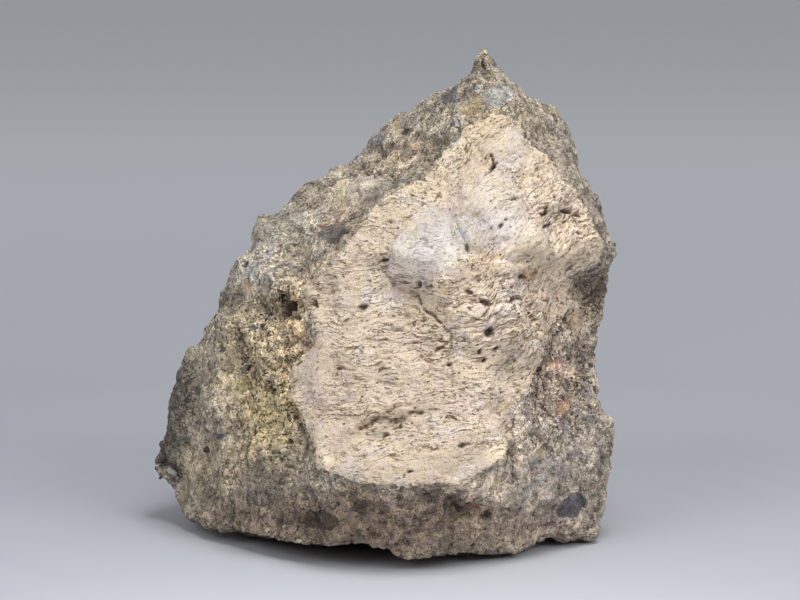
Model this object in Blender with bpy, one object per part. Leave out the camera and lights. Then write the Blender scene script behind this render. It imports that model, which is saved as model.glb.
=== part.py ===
"""A hand specimen of tuff: one broken block of grey-brown volcanic ash rock with a large cream pumice
block set in its front face.

The block is one solid. Its corners were taken by sighting: every point is given as (across, up, toward)
in millimetres, seen from an eye that looks slightly down at the front face. The points of each broken
edge form a chain. The seen side and the hidden side are two sheets of triangles that meet along the
skyline, and the closed cage is then refined, worn and roughened.
"""

import math

import bmesh
import bpy
from mathutils import Vector, noise
from mathutils.geometry import delaunay_2d_cdt

MM = 0.001

# The eye and its plane of sight, in millimetres. The plane passes through the middle of the stone.
SIGHT_DISTANCE = 550.0
SIGHT_TILT = math.radians(8.0)
SIGHT_CENTRE = Vector((3.9, -7.5, 48.9))
ACROSS = Vector((1.0, 0.0, 0.0))
UP = Vector((0.0, math.sin(SIGHT_TILT), math.cos(SIGHT_TILT)))
TOWARD = Vector((0.0, -math.cos(SIGHT_TILT), math.sin(SIGHT_TILT)))

# A point well inside the stone, from which every hidden point can be seen.
HEART = (0.0, -8.0, -8.0)

# Mesh sizes in millimetres: the longest edge on the display side and on the hidden side, and where
# along the line of sight the one goes over into the other.
FRONT_EDGE = 3.6
REAR_EDGE = 5.0
FRONT_EDGE_FROM = -12.0
REAR_EDGE_FROM = -24.0

# The outline against the sky, clockwise from the left foot. The two sheets meet on it.
SKYLINE = [
    (-44.0, -42.3, -17), (-45.6, -38.4, -18), (-47.4, -36.2, -20), (-50.0, -36.0, -21),
    (-49.8, -32.4, -22), (-47.8, -29.2, -21), (-46.4, -25.0, -20), (-46.4, -21.0, -20),
    (-44.8, -16.0, -20), (-44.4, -13.0, -19), (-42.4, -9.6, -18), (-38.9, -5.9, -18),
    (-36.6, -2.4, -18), (-35.5, 1.0, -18), (-34.1, 5.6, -19), (-33.2, 7.0, -19),
    (-30.8, 9.3, -19), (-29.8, 11.6, -19), (-28.7, 16.2, -21), (-27.5, 17.4, -22),
    (-24.2, 17.2, -22), (-22.6, 19.6, -23), (-20.0, 22.8, -24), (-14.0, 25.6, -25),
    (-11.0, 27.0, -25), (-7.0, 29.4, -26), (-6.4, 31.4, -26), (-3.0, 35.0, -26),
    (1.0, 37.4, -25), (6.6, 41.4, -23), (10.2, 43.5, -19), (12.4, 44.4, -12),
    (14.1, 46.0, -5), (15.0, 48.6, -1), (16.4, 50.4, 0), (18.0, 49.2, 0),
    (20.0, 46.6, -1), (22.2, 43.7, -3), (25.9, 40.8, -13), (30.4, 39.0, -20),
    (33.0, 35.7, -22), (35.0, 30.4, -22), (35.4, 26.4, -20), (36.6, 24.0, -17),
    (39.4, 20.8, -13), (40.8, 16.2, -10), (42.8, 11.6, -7), (43.0, 8.6, -5),
    (42.1, 5.0, -8), (41.2, 0.6, -10), (40.2, -4.6, -10), (38.9, -7.4, -10),
    (39.0, -13.0, -9), (39.6, -19.4, -9), (41.4, -24.0, -8), (42.2, -28.0, -8),
    (42.0, -34.0, -8), (41.2, -38.0, -8), (41.6, -41.6, -8), (40.8, -44.4, -8),
    (39.0, -46.6, -6), (33.8, -48.2, -3), (28.8, -47.2, 0), (26.2, -49.4, 5),
    (22.4, -50.7, 9), (19.0, -51.2, 12), (14.4, -51.4, 15), (9.2, -50.8, 18),
    (6.8, -51.6, 20), (0.2, -51.5, 21), (-2.2, -49.2, 21), (-7.6, -48.4, 20),
    (-12.0, -48.8, 19), (-17.8, -49.7, 17), (-25.4, -47.9, 11), (-31.4, -46.8, 4),
    (-36.8, -45.4, -4), (-43.0, -44.1, -14),
]

# Broken edges that stay crisp.
SHARP_CHAINS = {
    "top_edge": [
        (20.0, 46.6, -1), (18.0, 44.0, 4), (15.6, 42.4, 4), (11.8, 39.0, 4), (10.4, 36.4, 5),
        (10.4, 31.6, 7), (6.4, 26.8, 9), (3.8, 24.0, 10), (-0.6, 22.6, 11), (-5.4, 18.8, 12),
        (-8.4, 14.4, 13), (-11.4, 10.0, 14), (-15.0, 6.0, 14), (-19.4, 2.6, 14),
    ],
    "right_edge": [
        (22.2, 43.7, -3), (24.8, 40.0, 0), (25.6, 37.2, 1), (27.5, 32.6, 2), (30.0, 29.0, 3),
        (32.4, 25.0, 4), (35.2, 20.4, 5), (38.2, 15.8, 6), (39.6, 12.4, 6), (40.8, 9.2, 4),
        (43.0, 8.6, -5),
    ],
    "overhang_lip": [
        (40.8, 9.2, 4), (40.4, 7.8, 4), (37.0, 6.0, 6), (34.0, 4.2, 8), (31.4, 3.4, 10),
        (29.4, 3.2, 12),
    ],
    "flank_edge": [(29.4, 3.2, 12), (28.6, 0.0, 13), (27.8, -4.4, 14), (27.4, -8.0, 13)],
    "belly": [
        (22.2, -28.0, 22), (21.4, -31.2, 24), (15.6, -34.8, 27), (13.0, -37.6, 28),
        (8.0, -36.4, 30), (2.2, -37.6, 30), (-4.8, -37.0, 29), (-8.6, -36.6, 28),
        (-13.8, -35.0, 25),
    ],
}

# Softer lines and single points of the display side, grouped by the surface that they shape.
SOFT_CHAINS = {
    "left_shoulder": [(-19.4, 2.6, 14), (-23.4, 3.2, 8), (-27.6, 4.0, 0), (-31.0, 5.0, -9)],
    "pumice_left_border": [
        (-19.4, 2.6, 14), (-18.8, 0.0, 15), (-17.6, -3.2, 16), (-17.0, -6.4, 17),
        (-17.2, -9.6, 17), (-20.2, -12.8, 16), (-21.4, -15.2, 16), (-22.0, -18.4, 16),
        (-19.4, -22.2, 18), (-18.2, -25.4, 20), (-17.0, -28.6, 22), (-17.2, -32.6, 23),
        (-13.8, -35.0, 25),
    ],
    "under_left_border": [
        (-21.2, 0.4, 12.0), (-20.0, -3.4, 13.0), (-19.0, -6.6, 14.0), (-19.4, -9.2, 14.0),
        (-22.4, -12.0, 12.4), (-24.0, -15.0, 12.0), (-24.4, -19.2, 12.0), (-21.6, -23.2, 14.4),
        (-20.2, -26.2, 16.6), (-19.2, -29.0, 18.4), (-19.4, -33.4, 20.0),
    ],
    "pumice_right_border": [
        (27.4, -8.0, 13), (27.6, -13.4, 13), (25.2, -18.4, 17), (22.4, -23.6, 20),
        (22.2, -28.0, 22),
    ],
    "recess": [(40.6, 4.4, -9), (38.0, 3.4, -9), (35.0, 2.4, -6), (32.0, 1.4, 0), (30.2, 0.4, 7)],
    "recess_edge": [(34.4, -1.0, -3), (32.0, -4.4, 0), (29.8, -6.8, 4), (30.0, -11.0, 6)],
    "lump_crease": [(8.8, 20.0, 13), (10.4, 17.0, 14), (13.0, 11.0, 16.4), (15.6, 7.6, 17.6)],
    "under_white_lump": [(-2.4, 6.0, 15.6), (1.0, 3.0, 15.8), (5.0, 0.0, 17), (8.0, -5.0, 18)],
    "ledge": [(-8.0, -22.4, 23), (-4.0, -21.0, 25), (2.0, -20.6, 25.5), (8.0, -20.4, 25.5)],
    "under_ledge": [(-6.0, -24.8, 23.2), (-2.0, -24.2, 23.2), (4.0, -23.2, 24.2)],
    "left_strip_edge": [(-43.2, -17.0, -13), (-43.4, -28.0, -12), (-43.0, -36.0, -13)],
}
SURFACE_POINTS = {
    "upper_left": [
        (-29.0, 12.0, -12), (-24.0, 15.0, -10), (-16.0, 19.0, -9), (-9.6, 22.4, -8),
        (-3.0, 28.0, -9), (3.0, 33.0, -9), (8.0, 38.0, -7), (-18.0, 9.0, 4), (-13.0, 13.0, 3),
        (-8.0, 18.4, 3), (-1.0, 24.8, 2), (6.0, 31.0, 1), (-24.0, 9.0, -3), (-30.0, 8.0, -12),
    ],
    "peak": [
        (15.6, 46.4, 1), (16.4, 47.8, 2), (18.6, 46.6, 1), (17.0, 45.0, 1.5), (20.6, 43.2, 2),
        (18.4, 40.0, 5), (21.4, 38.6, 4),
    ],
    "right_shoulder": [(28.4, 36.0, -9), (32.4, 30.0, -10), (37.0, 20.6, -6), (26.0, 39.2, -7)],
    "left_face": [
        (-24.2, -1.4, 7), (-27.0, -6.0, 7), (-32.0, -6.0, -2), (-36.4, -9.0, -10),
        (-31.0, 0.0, -7), (-23.4, -8.4, 10.4), (-27.4, -16.0, 8.6), (-33.0, -18.0, 1),
        (-39.0, -20.0, -8), (-26.4, -26.0, 10.6), (-33.0, -28.0, 4), (-39.6, -28.0, -7),
        (-40.0, -36.0, -7), (-32.0, -37.0, 5), (-24.0, -38.0, 14), (-15.0, -40.0, 22),
        (-22.4, -32.0, 16),
    ],
    "pumice": [
        (19.4, 36.0, 7), (18.0, 32.0, 9), (24.0, 28.0, 10), (16.0, 26.0, 12), (29.0, 22.0, 12),
        (20.0, 20.0, 17), (24.0, 15.6, 18), (28.0, 15.0, 16), (34.0, 17.0, 11), (36.0, 11.0, 11),
        (25.0, 10.0, 19), (31.6, 8.6, 15), (12.0, 27.0, 11), (14.0, 20.0, 15), (5.0, 19.4, 15),
        (4.0, 15.0, 19), (5.0, 12.0, 21), (0.0, 9.6, 19.5), (-2.6, 9.6, 17), (8.0, 8.0, 22),
        (12.6, 4.0, 22), (19.0, 6.0, 21), (0.0, 19.0, 13), (-5.0, 13.0, 15), (-10.0, 7.6, 15.5),
        (-15.0, 2.0, 16), (-10.0, -2.0, 18), (-4.0, -6.0, 20), (-12.0, -14.0, 20),
        (-2.0, -14.0, 22), (-16.0, -20.0, 19), (16.0, -2.0, 22), (23.0, 0.0, 19),
        (12.0, -10.0, 22), (20.0, -10.0, 20), (10.0, -16.6, 24), (18.0, -18.0, 22.5),
        (6.0, -26.0, 26.5), (-10.0, -27.0, 24), (14.0, -26.0, 26), (18.0, -28.0, 25),
        (-8.0, -33.0, 28), (2.0, -33.0, 29.5), (10.0, -33.0, 29),
    ],
    "right_face": [
        (37.6, -2.4, -8), (35.0, -9.0, -1), (34.6, -16.0, -1), (29.6, -20.0, 9),
        (35.0, -23.0, 1), (38.6, -27.0, -1), (32.0, -28.0, 7), (26.6, -31.0, 15),
        (34.0, -35.0, 5), (38.6, -36.0, 0), (27.0, -38.0, 14), (20.0, -40.0, 21),
        (33.0, -42.0, 6), (38.4, -43.0, -1),
    ],
    "underband": [
        (-38.0, -41.0, -6), (-28.0, -43.0, 8), (-18.0, -44.0, 17.5), (-8.0, -43.6, 23),
        (2.0, -44.6, 24), (10.0, -44.6, 22.5), (18.0, -45.6, 16), (27.0, -44.6, 7.5),
    ],
}

# The hidden side. It starts with a band that turns over behind the skyline: its size, as a share of
# the skyline's round the heart, and how far behind the skyline it lies.
TURN_SHARE = 0.94
TURN_BACK = 4.5
REAR_CHAINS = {
    "rear_edge": [
        (16.0, 42.5, -9), (16.0, 40.0, -18), (14.6, 33.0, -30), (12.0, 24.0, -41),
        (13.6, 10.0, -48), (17.0, -6.0, -51), (15.0, -22.0, -52), (18.0, -36.0, -46),
    ],
    "rear_step": [(-33.0, -6.0, -33), (-20.0, -3.0, -41), (-6.0, -9.0, -47), (6.0, -5.0, -49.5)],
    "under_rear_step": [(-35.0, -10.0, -32), (-20.0, -8.0, -38), (-5.0, -14.0, -44), (7.0, -12.0, -47)],
    "rear_corner": [(27.0, 31.0, -29), (33.0, 14.0, -33), (35.6, -4.0, -33), (36.0, -24.0, -34)],
}
REAR_POINTS = [
    (-17.0, 15.0, -33), (-5.0, 25.0, -35), (6.0, 33.0, -32), (20.0, 37.0, -25), (20.0, 20.0, -40),
    (-6.0, 10.0, -43), (4.0, 14.0, -45), (-41.0, -16.0, -31), (-44.0, -28.0, -30),
    (-42.0, -39.0, -28), (-26.0, -22.0, -42), (-31.0, -34.0, -37), (-8.0, -24.0, -50),
    (-14.0, -37.0, -44), (3.0, -32.0, -50), (24.0, 4.0, -44), (26.0, -14.0, -44),
    (27.0, -30.0, -42), (38.0, 9.0, -22), (38.4, -12.0, -24), (40.6, -32.0, -23),
    (35.0, -39.0, -29),
]

# The underside, as (across, toward, height above the ground). Those at or below zero are the feet.
UNDERSIDE = [
    (6, 8, -0.7), (15, 3, -0.7), (-3, 9, 1.5), (26, -7, -0.6), (32, -16, -0.7), (-14, 8, 3.0),
    (-24, -2, 2.0), (-20, -14, -0.6), (-30, -20, -0.6), (-36, -27, 0.8), (-27, -31, -0.7),
    (-12, -27, 1.6), (-12, -39, -0.6), (4, -42, -0.7), (18, -38, -0.7), (4, -28, 1.8),
    (2, -8, 1.6), (16, -20, 2.2), (30, -28, 0.6), (10, -6, -0.5), (-6, -16, 0.6),
]

# Bulges (+) and hollows (-) of the display side: across, up, radius, height. They end where it turns.
FORMS_FROM = -14.0
FORMS = [
    (5.6, 12.4, 6.0, 2.0), (-0.4, 9.4, 3.6, 1.2), (20.4, 17.4, 6.5, 1.8), (24.0, 29.0, 5.0, 0.8),
    (10.6, 16.4, 3.4, -1.4), (13.6, 9.6, 3.0, -1.2), (2.0, 3.4, 3.2, -0.9), (30.0, 19.0, 5.0, 0.8),
    (8.4, 4.0, 3.6, 0.9), (13.6, -3.0, 4.0, 0.7), (34.0, 12.6, 4.0, 1.0), (-14.6, -19.0, 4.0, 0.8),
    (18.2, 27.0, 2.4, -1.8), (-24.4, -1.6, 3.4, -2.2), (4.4, -0.6, 3.0, -0.6),
    (-3.0, -24.6, 4.0, -1.0), (30.2, -6.8, 2.6, -1.8), (36.0, 2.0, 4.0, -1.2),
    (32.4, -16.6, 4.0, -1.2), (-16.0, -42.0, 5.0, -0.8), (15.0, -42.4, 5.0, -0.7),
    (-9.0, 22.0, 4.2, 1.2), (-15.4, 10.6, 3.6, 1.0), (-26.0, 12.6, 4.6, 1.2),
    (38.0, -33.0, 5.0, 1.2), (-36.0, -24.0, 4.6, 1.0), (-21.6, -12.8, 2.4, -0.9),
    (30.0, 36.0, 4.0, 1.0), (21.4, -26.0, 2.6, -0.8), (-30.0, -12.0, 4.0, -1.2),
    (-28.4, -30.0, 4.0, 1.0), (-37.6, -14.0, 3.4, 0.9),
]

# The rough break: flat facets, as (size, slope), which are worn, and lumps, as (size, height), which
# aren't. Sizes and heights are in millimetres.
FACETS = [(18.0, 0.2), (10.0, 0.26)]
LUMPS = [(9.0, 0.5), (4.5, 0.45)]
EDGE_ROUGHNESS = 0.25
NOISE_SHIFT = Vector((17.3, 5.1, 31.7))
TILT_SPREAD = 31.0  # sets the tilts of neighbouring facets apart
WEAR_PASSES = 2
WEAR = 0.4
EDGE_WEAR = 0.2

# The pumice broke more smoothly than the ash around it. Its face is nearly an upright ellipse that
# leans to the right: middle and half size as (across, up), lean, and how far back it reaches.
PUMICE_ROUGHNESS = 0.5
PUMICE_MIDDLE = (4.0, -2.0)
PUMICE_HALF_SIZE = (20.0, 37.0)
PUMICE_LEAN = 0.28
PUMICE_FROM = 5.0

ROCK_COLOUR = (0.33, 0.29, 0.24, 1.0)
ROCK_ROUGHNESS = 0.95


def place(across, up, toward):
    """The point seen at (across, up) on the plane of sight, lying that far toward the eye."""
    shrink = (SIGHT_DISTANCE - toward) / SIGHT_DISTANCE
    return SIGHT_CENTRE + (ACROSS * across + UP * up) * shrink + TOWARD * toward


def sighted(point):
    """(across, up, toward) of a point: the inverse of place."""
    offset = point - SIGHT_CENTRE
    toward = offset.dot(TOWARD)
    shrink = (SIGHT_DISTANCE - toward) / SIGHT_DISTANCE
    return offset.dot(ACROSS) / shrink, offset.dot(UP) / shrink, toward


def underside(across, toward, height):
    """(across, up, toward) of the point at that height above the ground."""
    on_plane = SIGHT_CENTRE + ACROSS * across + TOWARD * toward
    return sighted(on_plane + UP * ((height - on_plane.z) / UP.z))


def turned_over(across, up, toward):
    """(across, up, toward) of the point behind a skyline point where the hidden side starts."""
    heart_across, heart_up, _ = HEART
    inward_across = heart_across + (across - heart_across) * TURN_SHARE
    inward_up = heart_up + (up - heart_up) * TURN_SHARE
    return inward_across, inward_up, toward - TURN_BACK


def seen_from_front(point):
    across, up, _ = sighted(point)
    return across, up


def seen_from_heart(point):
    """Flattens the hidden side round the line of sight, so that none of it folds over."""
    offset = point - place(*HEART)
    across, up, away = offset.dot(ACROSS), offset.dot(UP), -offset.dot(TOWARD)
    sideways = math.hypot(across, up)
    angle = math.atan2(sideways, away)
    return across / sideways * angle, up / sideways * angle


def add_chain(corners, chain):
    """Adds a chain's points to the corners, each once. Returns its segments, as pairs of their places."""
    for corner in chain:
        if corner not in corners:
            corners.append(corner)
    places = [corners.index(corner) for corner in chain]
    return list(zip(places, places[1:]))


def add_chains(corners, chains):
    return [segment for chain in chains.values() for segment in add_chain(corners, chain)]


def display_side():
    """The points of the display side, those of the skyline first, and its crisp and soft segments."""
    corners = list(SKYLINE)
    crisp = add_chains(corners, SHARP_CHAINS)
    soft = add_chains(corners, SOFT_CHAINS)
    add_chains(corners, SURFACE_POINTS)
    return corners, crisp, soft


def hidden_side():
    """The same of the hidden side. Its soft segments run from the skyline over to the band behind."""
    corners = SKYLINE + [turned_over(*corner) for corner in SKYLINE]
    soft = [(index, index + len(SKYLINE)) for index in range(len(SKYLINE))]
    crisp = add_chains(corners, REAR_CHAINS)
    corners += REAR_POINTS + [underside(*spot) for spot in UNDERSIDE]
    return corners, crisp, soft


def add_sheet(mesh, verts, flatten, lines):
    """Triangulates verts inside the skyline, which is their first part, with the lines kept as edges."""
    flat = [Vector(flatten(vert.co)) for vert in verts]
    rim = list(reversed(range(len(SKYLINE))))
    points, _, faces, sources, _, inside = delaunay_2d_cdt(flat, lines, [rim], 0, 1e-6, True)
    if len(points) != len(verts):
        raise ValueError("two chains cross, or two points coincide")
    for face, inside_rim in zip(faces, inside):
        if inside_rim:
            mesh.faces.new([verts[sources[corner][0]] for corner in face])


def make_cage():
    """The closed cage. Its crisp edges, the skyline among them, are marked as seams."""
    mesh = bmesh.new()
    rim = [mesh.verts.new(place(*corner)) for corner in SKYLINE]
    for side, flatten in ((display_side(), seen_from_front), (hidden_side(), seen_from_heart)):
        corners, crisp, soft = side
        verts = rim + [mesh.verts.new(place(*corner)) for corner in corners[len(rim):]]
        add_sheet(mesh, verts, flatten, crisp + soft)
        for first, second in crisp:
            mesh.edges.get((verts[first], verts[second])).seam = True
    for first, second in zip(rim, rim[1:] + rim[:1]):
        mesh.edges.get((first, second)).seam = True
    bmesh.ops.recalc_face_normals(mesh, faces=mesh.faces[:])
    return mesh


def longest_edge(point):
    """The mesh size wanted at a point: fine on the display side, coarse on the hidden side."""
    _, _, toward = sighted(point)
    share = (toward - REAR_EDGE_FROM) / (FRONT_EDGE_FROM - REAR_EDGE_FROM)
    share = min(max(share, 0.0), 1.0)
    return REAR_EDGE + (FRONT_EDGE - REAR_EDGE) * share


def refine(mesh):
    """Halves every edge that is too long, until none is."""
    while True:
        too_long = []
        for edge in mesh.edges:
            middle = (edge.verts[0].co + edge.verts[1].co) / 2
            if edge.calc_length() > longest_edge(middle):
                too_long.append(edge)
        if not too_long:
            return
        bmesh.ops.subdivide_edges(mesh, edges=too_long, cuts=1)
        bmesh.ops.triangulate(mesh, faces=[face for face in mesh.faces if len(face.verts) > 3])


def wear(mesh):
    """Rounds the cage off: the faces freely, the crisp edges only along their own run."""
    for _ in range(WEAR_PASSES):
        targets = []
        for vert in mesh.verts:
            crisp = [edge for edge in vert.link_edges if edge.seam]
            edges = crisp if crisp else vert.link_edges
            middle = sum((edge.other_vert(vert).co for edge in edges), Vector()) / len(edges)
            at_end = len(crisp) == 1
            share = 0.0 if at_end else EDGE_WEAR if crisp else WEAR
            targets.append(vert.co.lerp(middle, share))
        for vert, target in zip(mesh.verts, targets):
            vert.co = target


def bulge(point):
    """How far the bulges and hollows move a point of the display side outwards."""
    across, up, toward = sighted(point)
    if toward < FORMS_FROM:
        return 0.0
    total = 0.0
    for form_across, form_up, radius, height in FORMS:
        distance = math.hypot(across - form_across, up - form_up) / radius
        if distance < 1.0:
            total += height * (1.0 - distance * distance) ** 2
    return total


def is_pumice(point):
    across, up, toward = sighted(point)
    half_width, half_height = PUMICE_HALF_SIZE
    above = up - PUMICE_MIDDLE[1]
    aside = across - PUMICE_MIDDLE[0] - PUMICE_LEAN * above
    return toward > PUMICE_FROM and math.hypot(aside / half_width, above / half_height) < 1.0


def in_cells(point, size):
    """The point as the noise takes it, in cells of that size."""
    return (point - SIGHT_CENTRE) / size + NOISE_SHIFT


def facet(point, size, slope):
    """The height of a facet: each cell of the rock broke along a plane with a tilt of its own."""
    spot = in_cells(point, size)
    centre = noise.voronoi(spot)[1][0]
    tilt = noise.cell_vector(centre * TILT_SPREAD) * 2.0 - Vector((1.0, 1.0, 1.0))
    return size * slope * tilt.dot(spot - centre)


def roughness(vert):
    """How much of the roughness a point takes: less on the pumice, and less on a crisp edge."""
    share = PUMICE_ROUGHNESS if is_pumice(vert.co) else 1.0
    crisp = any(edge.seam for edge in vert.link_edges)
    return share * EDGE_ROUGHNESS if crisp else share


def move_out(mesh, height):
    """Moves every point outwards, by what height gives for it."""
    mesh.normal_update()
    moves = [vert.normal * height(vert) for vert in mesh.verts]
    for vert, move in zip(mesh.verts, moves):
        vert.co += move


def facets(vert):
    return roughness(vert) * sum(facet(vert.co, size, slope) for size, slope in FACETS)


def lumps(vert):
    rough = sum(height * noise.noise(in_cells(vert.co, size)) for size, height in LUMPS)
    return bulge(vert.co) + roughness(vert) * rough


def stand(mesh):
    """Flattens the feet on the ground."""
    for vert in mesh.verts:
        vert.co.z = max(vert.co.z, 0.0)


def rock_material():
    material = bpy.data.materials.new("tuff")
    material.use_nodes = True
    surface = material.node_tree.nodes["Principled BSDF"]
    surface.inputs["Base Color"].default_value = ROCK_COLOUR
    surface.inputs["Roughness"].default_value = ROCK_ROUGHNESS
    surface.inputs["Metallic"].default_value = 0.0
    return material


def make_tuff():
    cage = make_cage()
    refine(cage)
    move_out(cage, facets)
    wear(cage)
    move_out(cage, lumps)
    stand(cage)
    bmesh.ops.scale(cage, vec=(MM, MM, MM), verts=cage.verts[:])
    data = bpy.data.meshes.new("tuff")
    cage.to_mesh(data)
    cage.free()
    data.materials.append(rock_material())
    tuff = bpy.data.objects.new("tuff", data)
    bpy.context.scene.collection.objects.link(tuff)


for existing in list(bpy.data.objects):
    bpy.data.objects.remove(existing)
make_tuff()
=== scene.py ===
"""The looks of a piece of tuff: grey-brown ash rock with a large block of cream pumice in its face.

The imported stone's mesh is refined and smoothed into a skin that gets grain, fibres, cracks and pits, and
fragments of other rock sit in the ash. Lengths are in millimetres. A place on the face that is seen is
given as (across, up) on the eye's plane of sight.
"""

import math

import bmesh
import bpy
import numpy as np
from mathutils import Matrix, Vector, noise


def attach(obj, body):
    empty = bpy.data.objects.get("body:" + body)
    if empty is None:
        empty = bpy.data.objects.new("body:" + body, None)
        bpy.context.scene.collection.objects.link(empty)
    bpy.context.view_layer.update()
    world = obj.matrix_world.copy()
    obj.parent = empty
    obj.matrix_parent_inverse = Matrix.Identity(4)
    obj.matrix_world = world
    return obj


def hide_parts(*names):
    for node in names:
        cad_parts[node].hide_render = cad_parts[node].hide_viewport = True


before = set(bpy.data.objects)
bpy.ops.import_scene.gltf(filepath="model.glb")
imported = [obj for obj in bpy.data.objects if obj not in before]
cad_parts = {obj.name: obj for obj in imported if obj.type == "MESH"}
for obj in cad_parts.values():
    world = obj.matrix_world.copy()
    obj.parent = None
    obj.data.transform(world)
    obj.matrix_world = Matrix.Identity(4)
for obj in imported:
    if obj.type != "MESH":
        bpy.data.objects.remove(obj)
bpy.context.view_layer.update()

MM = 0.001

# The eye and its plane of sight.
SIGHT_DISTANCE = 550
SIGHT_TILT = math.radians(8)
SIGHT_CENTRE = np.array([3.9, -7.5, 48.9])
ACROSS = np.array([1.0, 0.0, 0.0])
UP = np.array([0.0, math.sin(SIGHT_TILT), math.cos(SIGHT_TILT)])
TOWARD = np.array([0.0, -math.cos(SIGHT_TILT), math.sin(SIGHT_TILT)])

# The widths of the picture on the plane of sight and of the camera's sensor.
VIEW_WIDTH = 160
SENSOR_WIDTH = 36

# The longest edges of the meshes: the shared base, the pumice, and the ash in front, behind and under the
# pumice, this far inside its outline. The front and the rear start at these places toward the eye.
BASE_EDGES = (2.4, 1.3)
BASE_SMOOTHING = (0.5, -0.52)
MOST_HALVINGS = 6
PUMICE_EDGE = 0.42
FRONT_EDGE = 0.68
REAR_EDGE = 1.25
COVERED_EDGE = 2.2
COVERED = (1, 2)
FRONT_FROM = -16
REAR_FROM = -27

# The pumice reaches this far past its outline and dives this deep under the ash there. The ash sinks this
# deep under the pumice, between these distances inside the outline. The pumice is closed behind at one
# point: across, up and toward the eye.
PUMICE_MARGIN = 1.3
PUMICE_DIVE = 2.6
DIVE_FROM = -0.15
ASH_SINK = 2.4
SINK_SIDES = (0.2, 1.3)
PUMICE_BACK = (4, 0, -6)

# The outline of the pumice, clockwise from its top.
PUMICE_OUTLINE = [
    (17.2, 37), (19.4, 37.6), (21.6, 36.2), (23.6, 34.4), (25, 31.8), (28, 29.2), (29.4, 28.6), (32, 25.2),
    (36.6, 18), (38.6, 14.2), (40.8, 10.6), (40.2, 7.8), (34.2, 4.2), (34.2, -0.4), (32, -4), (29.6, -6.8),
    (29, -9), (27.6, -13.4), (25.2, -18.4), (22.4, -23.6), (22.2, -28), (21.4, -31.2), (15.6, -34.8),
    (13, -37.6), (8, -36.4), (2.2, -37.6), (-4.8, -37), (-8.6, -36.6), (-13.8, -34.8), (-17.2, -32.6),
    (-17, -28.6), (-18.2, -25.4), (-19.4, -22.4), (-22.4, -18.4), (-21.4, -15.2), (-20.2, -12.8),
    (-17.2, -9.6), (-17, -6.4), (-17.6, -3.2), (-18.8, 0), (-19.6, 2.2), (-19.2, 3.2), (-14, 7),
    (-11.4, 10), (-8, 14.8), (-5.4, 18.8), (-0.6, 22.6), (4.2, 24), (6.4, 26.6), (8.6, 29.2), (11.2, 31.8),
    (12.8, 34.4),
]

# A spot is an ellipse: across, up, half length, half width and turn in degrees. Pits are spots with a depth.
PITS = [
    (20.2, 14.8, 0.62, 0.5, 60, 1), (21, 16, 0.42, 0.36, 0, 0.7), (12, 16.6, 0.3, 0.3, 0, 0.5),
    (-3.2, 7.8, 0.7, 0.55, 0, 0.9), (3.8, 3.2, 0.8, 0.5, 30, 1), (6, 3, 0.5, 0.34, -20, 0.6),
    (13.8, 1.4, 0.75, 0.45, -15, 0.9), (17, -0.4, 0.95, 0.6, -20, 1.2), (14.9, -0.2, 1.3, 0.4, -10, 0.5),
    (17.2, -6.4, 1.1, 0.75, 25, 1.2), (18.8, -9.8, 0.7, 0.5, 40, 1), (16, -10.6, 0.6, 0.45, 10, 1),
    (17, -12.2, 0.42, 0.42, 0, 0.8), (-7.6, -1.6, 1, 0.7, 20, 0.8), (-3, -27, 0.9, 0.6, 10, 0.8),
    (33.2, 17.8, 1.3, 0.5, 5, 1), (35.2, 16.8, 0.9, 0.45, -20, 0.9), (28.8, 17.5, 1.4, 0.4, 15, 0.8),
    (22.7, 20.1, 1.6, 0.4, 15, 0.5), (29.3, 14.7, 1.1, 0.4, 25, 0.8), (35.7, 13.7, 0.9, 0.4, -10, 0.7),
    (24.6, 4.4, 0.8, 0.5, 20, 0.9), (26.4, 5.6, 0.9, 0.4, 20, 0.5), (22.2, 0.2, 1.9, 0.5, 15, 0.6),
    (10, -12.8, 0.7, 0.32, 0, 0.7), (12.7, -29, 1.4, 0.42, 10, 0.6), (2, -34.5, 0.8, 0.32, 0, 0.6),
    (0.6, -35.2, 0.4, 0.3, 0, 0.5), (21.2, 40.8, 0.4, 0.3, 0, 0.5), (21.6, -30.4, 0.5, 0.5, 0, 0.9),
    (-23.4, 0.4, 1.3, 0.9, -50, 1.5), (-22, -1.8, 1.4, 1, -60, 1.5), (-20.8, -3.4, 0.9, 0.7, -40, 1),
    (18.7, 26.3, 1, 0.6, 70, 1.3), (18.3, 28.5, 0.6, 0.45, 0, 0.9), (13.4, 10.4, 0.9, 0.6, -50, 0.8),
    (-17, -0.8, 0.6, 0.9, 0, 1), (-30.8, 7.2, 0.5, 0.7, -10, 0.9), (-26, -17.8, 1.3, 0.45, -35, 1),
    (-29, -26.2, 0.5, 1.1, 10, 0.8), (-23, -31.2, 0.7, 0.45, 20, 0.9), (-29.8, -13.4, 0.5, 1.3, 10, 1),
    (-20, -12.6, 0.9, 0.4, 45, 1), (-22, -28.4, 1, 0.5, 0, 1), (17.4, -43, 1.3, 1, 10, 0.7),
    (30.8, -7.1, 0.9, 0.8, 0, 1.4), (28.2, -14, 0.9, 0.8, 60, 1), (-16.6, -44, 1.3, 0.7, 0, 0.5),
    (11.6, -41.6, 1.2, 0.8, -20, 0.5),
]

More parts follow.
